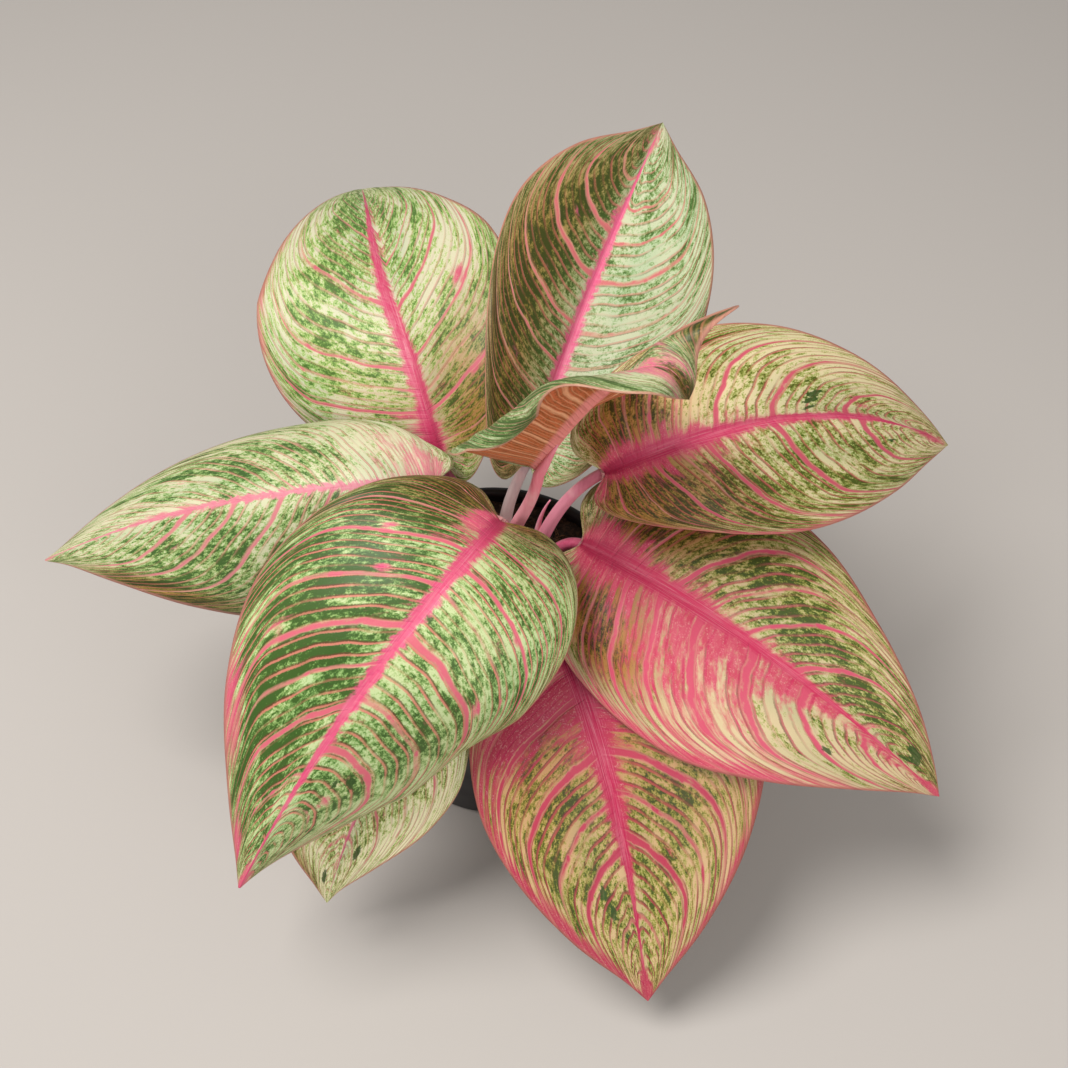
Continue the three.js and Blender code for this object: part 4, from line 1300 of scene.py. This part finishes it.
def soil_bed():
    """The soil that fills the pot, with a lumpy top."""
    edge = pot_radius(SOIL_TOP) - POT_WALL - 0.15
    low = pot_radius(SOIL_BOTTOM) - POT_WALL - SOIL_GAP - 1
    profile = [(0, SOIL_BOTTOM), (low, SOIL_BOTTOM)]
    profile += [(edge * (1 - i / SOIL_RINGS), SOIL_TOP) for i in range(SOIL_RINGS + 1)]
    bm = bmesh.new()
    spun(bm, profile, SOIL_STEPS)
    for v in bm.verts:
        if v.co.z > (SOIL_TOP - 1) * MM:
            v.co.z = soil_height(v.co.x / MM, v.co.y / MM) * MM
    piece = piece_from(bm, "soil_bed", ["soil"])
    piece.data.materials.append(soil_finish("soil_dark", "#241a15", "#56402f", 700))


def soil_finish(name, dark, light, scale):
    skin = Finish(name)
    place = skin.place()
    grain = skin.noise(place, scale, detail=4, rough=0.7)
    lump = skin.noise(place, scale / 6, detail=3)
    share = skin.add(skin.times(grain, 0.6), skin.times(lump, 0.4))
    colour = skin.blend(skin.rise(0.42, 0.62, share), dark, light)
    skin.bump(share, 0.0012, 0.9)
    return skin.done(colour, 0.9)


def soil_crumbs():
    """Bark chips and crumbs pressed into the top of the soil."""
    draw = random.Random(11)
    bm = bmesh.new()
    for i in range(CRUMB_COUNT):
        r = CRUMB_REACH * math.sqrt(draw.random())
        turn = draw.uniform(0, 2 * math.pi)
        x = r * math.cos(turn)
        y = r * math.sin(turn)
        size = draw.uniform(0.7, 2.2)
        if i % 9 == 0:
            size = draw.uniform(2.2, 3.4)
        made = bmesh.ops.create_icosphere(bm, subdivisions=1, radius=1)
        for v in made["verts"]:
            v.co *= draw.uniform(0.75, 1.2)
        across = size * draw.uniform(0.4, 0.9)
        high = size * draw.uniform(0.3, 0.6)
        shape = Matrix.Diagonal((size * MM, across * MM, high * MM, 1))
        spin = Matrix.Rotation(draw.uniform(0, 6.28), 4, "Z")
        spin = spin @ Matrix.Rotation(draw.uniform(-0.5, 0.5), 4, "X")
        spot = Matrix.Translation(Vector((x, y, soil_height(x, y) + size * 0.12)) * MM)
        bmesh.ops.transform(bm, matrix=spot @ spin @ shape, verts=made["verts"])
    bmesh.ops.recalc_face_normals(bm, faces=bm.faces[:])
    piece = piece_from(bm, "soil_crumbs")
    piece.data.materials.append(soil_finish("soil_bark", "#36241a", "#7c583c", 420))


def soil_fibres():
    """Thin coir fibres that lie over the soil."""
    draw = random.Random(23)
    bm = bmesh.new()
    for i in range(FIBRE_COUNT):
        r = FIBRE_REACH * math.sqrt(draw.random())
        turn = draw.uniform(0, 2 * math.pi)
        heading = draw.uniform(0, 2 * math.pi)
        bend = draw.uniform(-0.09, 0.09)
        x = r * math.cos(turn)
        y = r * math.sin(turn)
        centres = []
        for k in range(9):
            lift = 0.5 + 0.5 * math.sin(k * 0.9 + i)
            if math.hypot(x, y) < FIBRE_LIMIT:
                centres.append(np.array([x, y, soil_height(x, y) + lift]))
            x += FIBRE_STEP * math.cos(heading)
            y += FIBRE_STEP * math.sin(heading)
            heading += bend + draw.uniform(-0.16, 0.16)
        if len(centres) < 4:
            continue
        run = unit(np.diff(np.array(centres + [2 * centres[-1] - centres[-2]]), axis=0))
        sides = unit(np.cross(run, np.array([0, 0, 1.0])))
        others = np.cross(run, sides)
        tube(bm, centres, sides, others, [draw.uniform(0.13, 0.26)] * len(centres), 5)
    bmesh.ops.recalc_face_normals(bm, faces=bm.faces[:])
    piece = piece_from(bm, "soil_fibres")
    piece.data.materials.append(soil_finish("soil_coir", "#64452f", "#a67e58", 900))


def cane():
    """Short cane with two leaf-scar rings and a ragged top."""
    r = CANE_RADIUS
    profile = [
        (0, SOIL_TOP - CANE_BURIED),
        (r - 1, SOIL_TOP - CANE_BURIED),
        (r, SOIL_TOP - CANE_BURIED + 2),
        (r, CANE_TOP - 12),
        (r - 0.6, CANE_TOP - 11),
        (r, CANE_TOP - 10),
        (r - 0.4, CANE_TOP - 5),
        (r - 1.4, CANE_TOP - 4),
        (r - 1.2, CANE_TOP - 1),
        (r - 2.5, CANE_TOP),
        (0, CANE_TOP),
    ]
    bm = bmesh.new()
    spun(bm, rounded(profile, 0.5, 3), 64, (CANE_X, CANE_Y))
    piece = piece_from(bm, "cane_stem", ["cane"])
    skin = Finish("cane_skin")
    place = skin.place()
    streaks = skin.noise(skin.stretch(place, (700, 700, 90)), detail=3)
    colour = skin.blend(skin.rise(0.35, 0.65, streaks), "#a9726e", "#8f8a58")
    skin.bump(streaks, 0.0005, 0.7)
    piece.data.materials.append(skin.done(colour, 0.55))


def floor():
    bm = bmesh.new()
    bmesh.ops.create_grid(bm, x_segments=1, y_segments=1, size=3)
    mesh = bpy.data.meshes.new("floor")
    bm.to_mesh(mesh)
    bm.free()
    ground = bpy.data.objects.new("floor", mesh)
    bpy.context.scene.collection.objects.link(ground)
    skin = Finish("floor_pale")
    mesh.materials.append(skin.done("#bdb7b1", 0.9))


def lamp(name, spot, size, watts, colour):
    data = bpy.data.lights.new(name, "AREA")
    data.shape = "DISK"
    data.size = size
    data.energy = watts
    data.color = colour
    light = bpy.data.objects.new(name, data)
    light.location = spot
    light.rotation_euler = (Vector(PLANT_MIDDLE) - Vector(spot)).to_track_quat("-Z", "Y").to_euler()
    bpy.context.scene.collection.objects.link(light)


def studio():
    """Pale floor, a broad soft light from the left, a weak one from the front, and the photo's viewpoint."""
    floor()
    for values in LAMPS:
        lamp(**values)
    world = bpy.data.worlds.new("studio")
    world.use_nodes = True
    background = world.node_tree.nodes["Background"]
    background.inputs["Color"].default_value = ROOM_COLOUR
    background.inputs["Strength"].default_value = ROOM_STRENGTH
    bpy.context.scene.world = world
    bpy.context.scene.view_settings.view_transform = "Standard"
    data = bpy.data.cameras.new("camera")
    data.sensor_width = SENSOR_WIDTH
    data.lens = SENSOR_WIDTH * FOCAL_PIXELS / PHOTO_PIXELS
    camera = bpy.data.objects.new("camera", data)
    camera.location = CAMERA_SPOT
    camera.rotation_euler = (math.radians(CAMERA_TILT), 0, 0)
    bpy.context.scene.collection.objects.link(camera)
    bpy.context.scene.camera = camera


studio()
pot()
soil_bed()
soil_crumbs()
soil_fibres()
cane()
for leaf in LEAVES:
    leaf_blade(leaf)
    leaf_stalk(leaf)
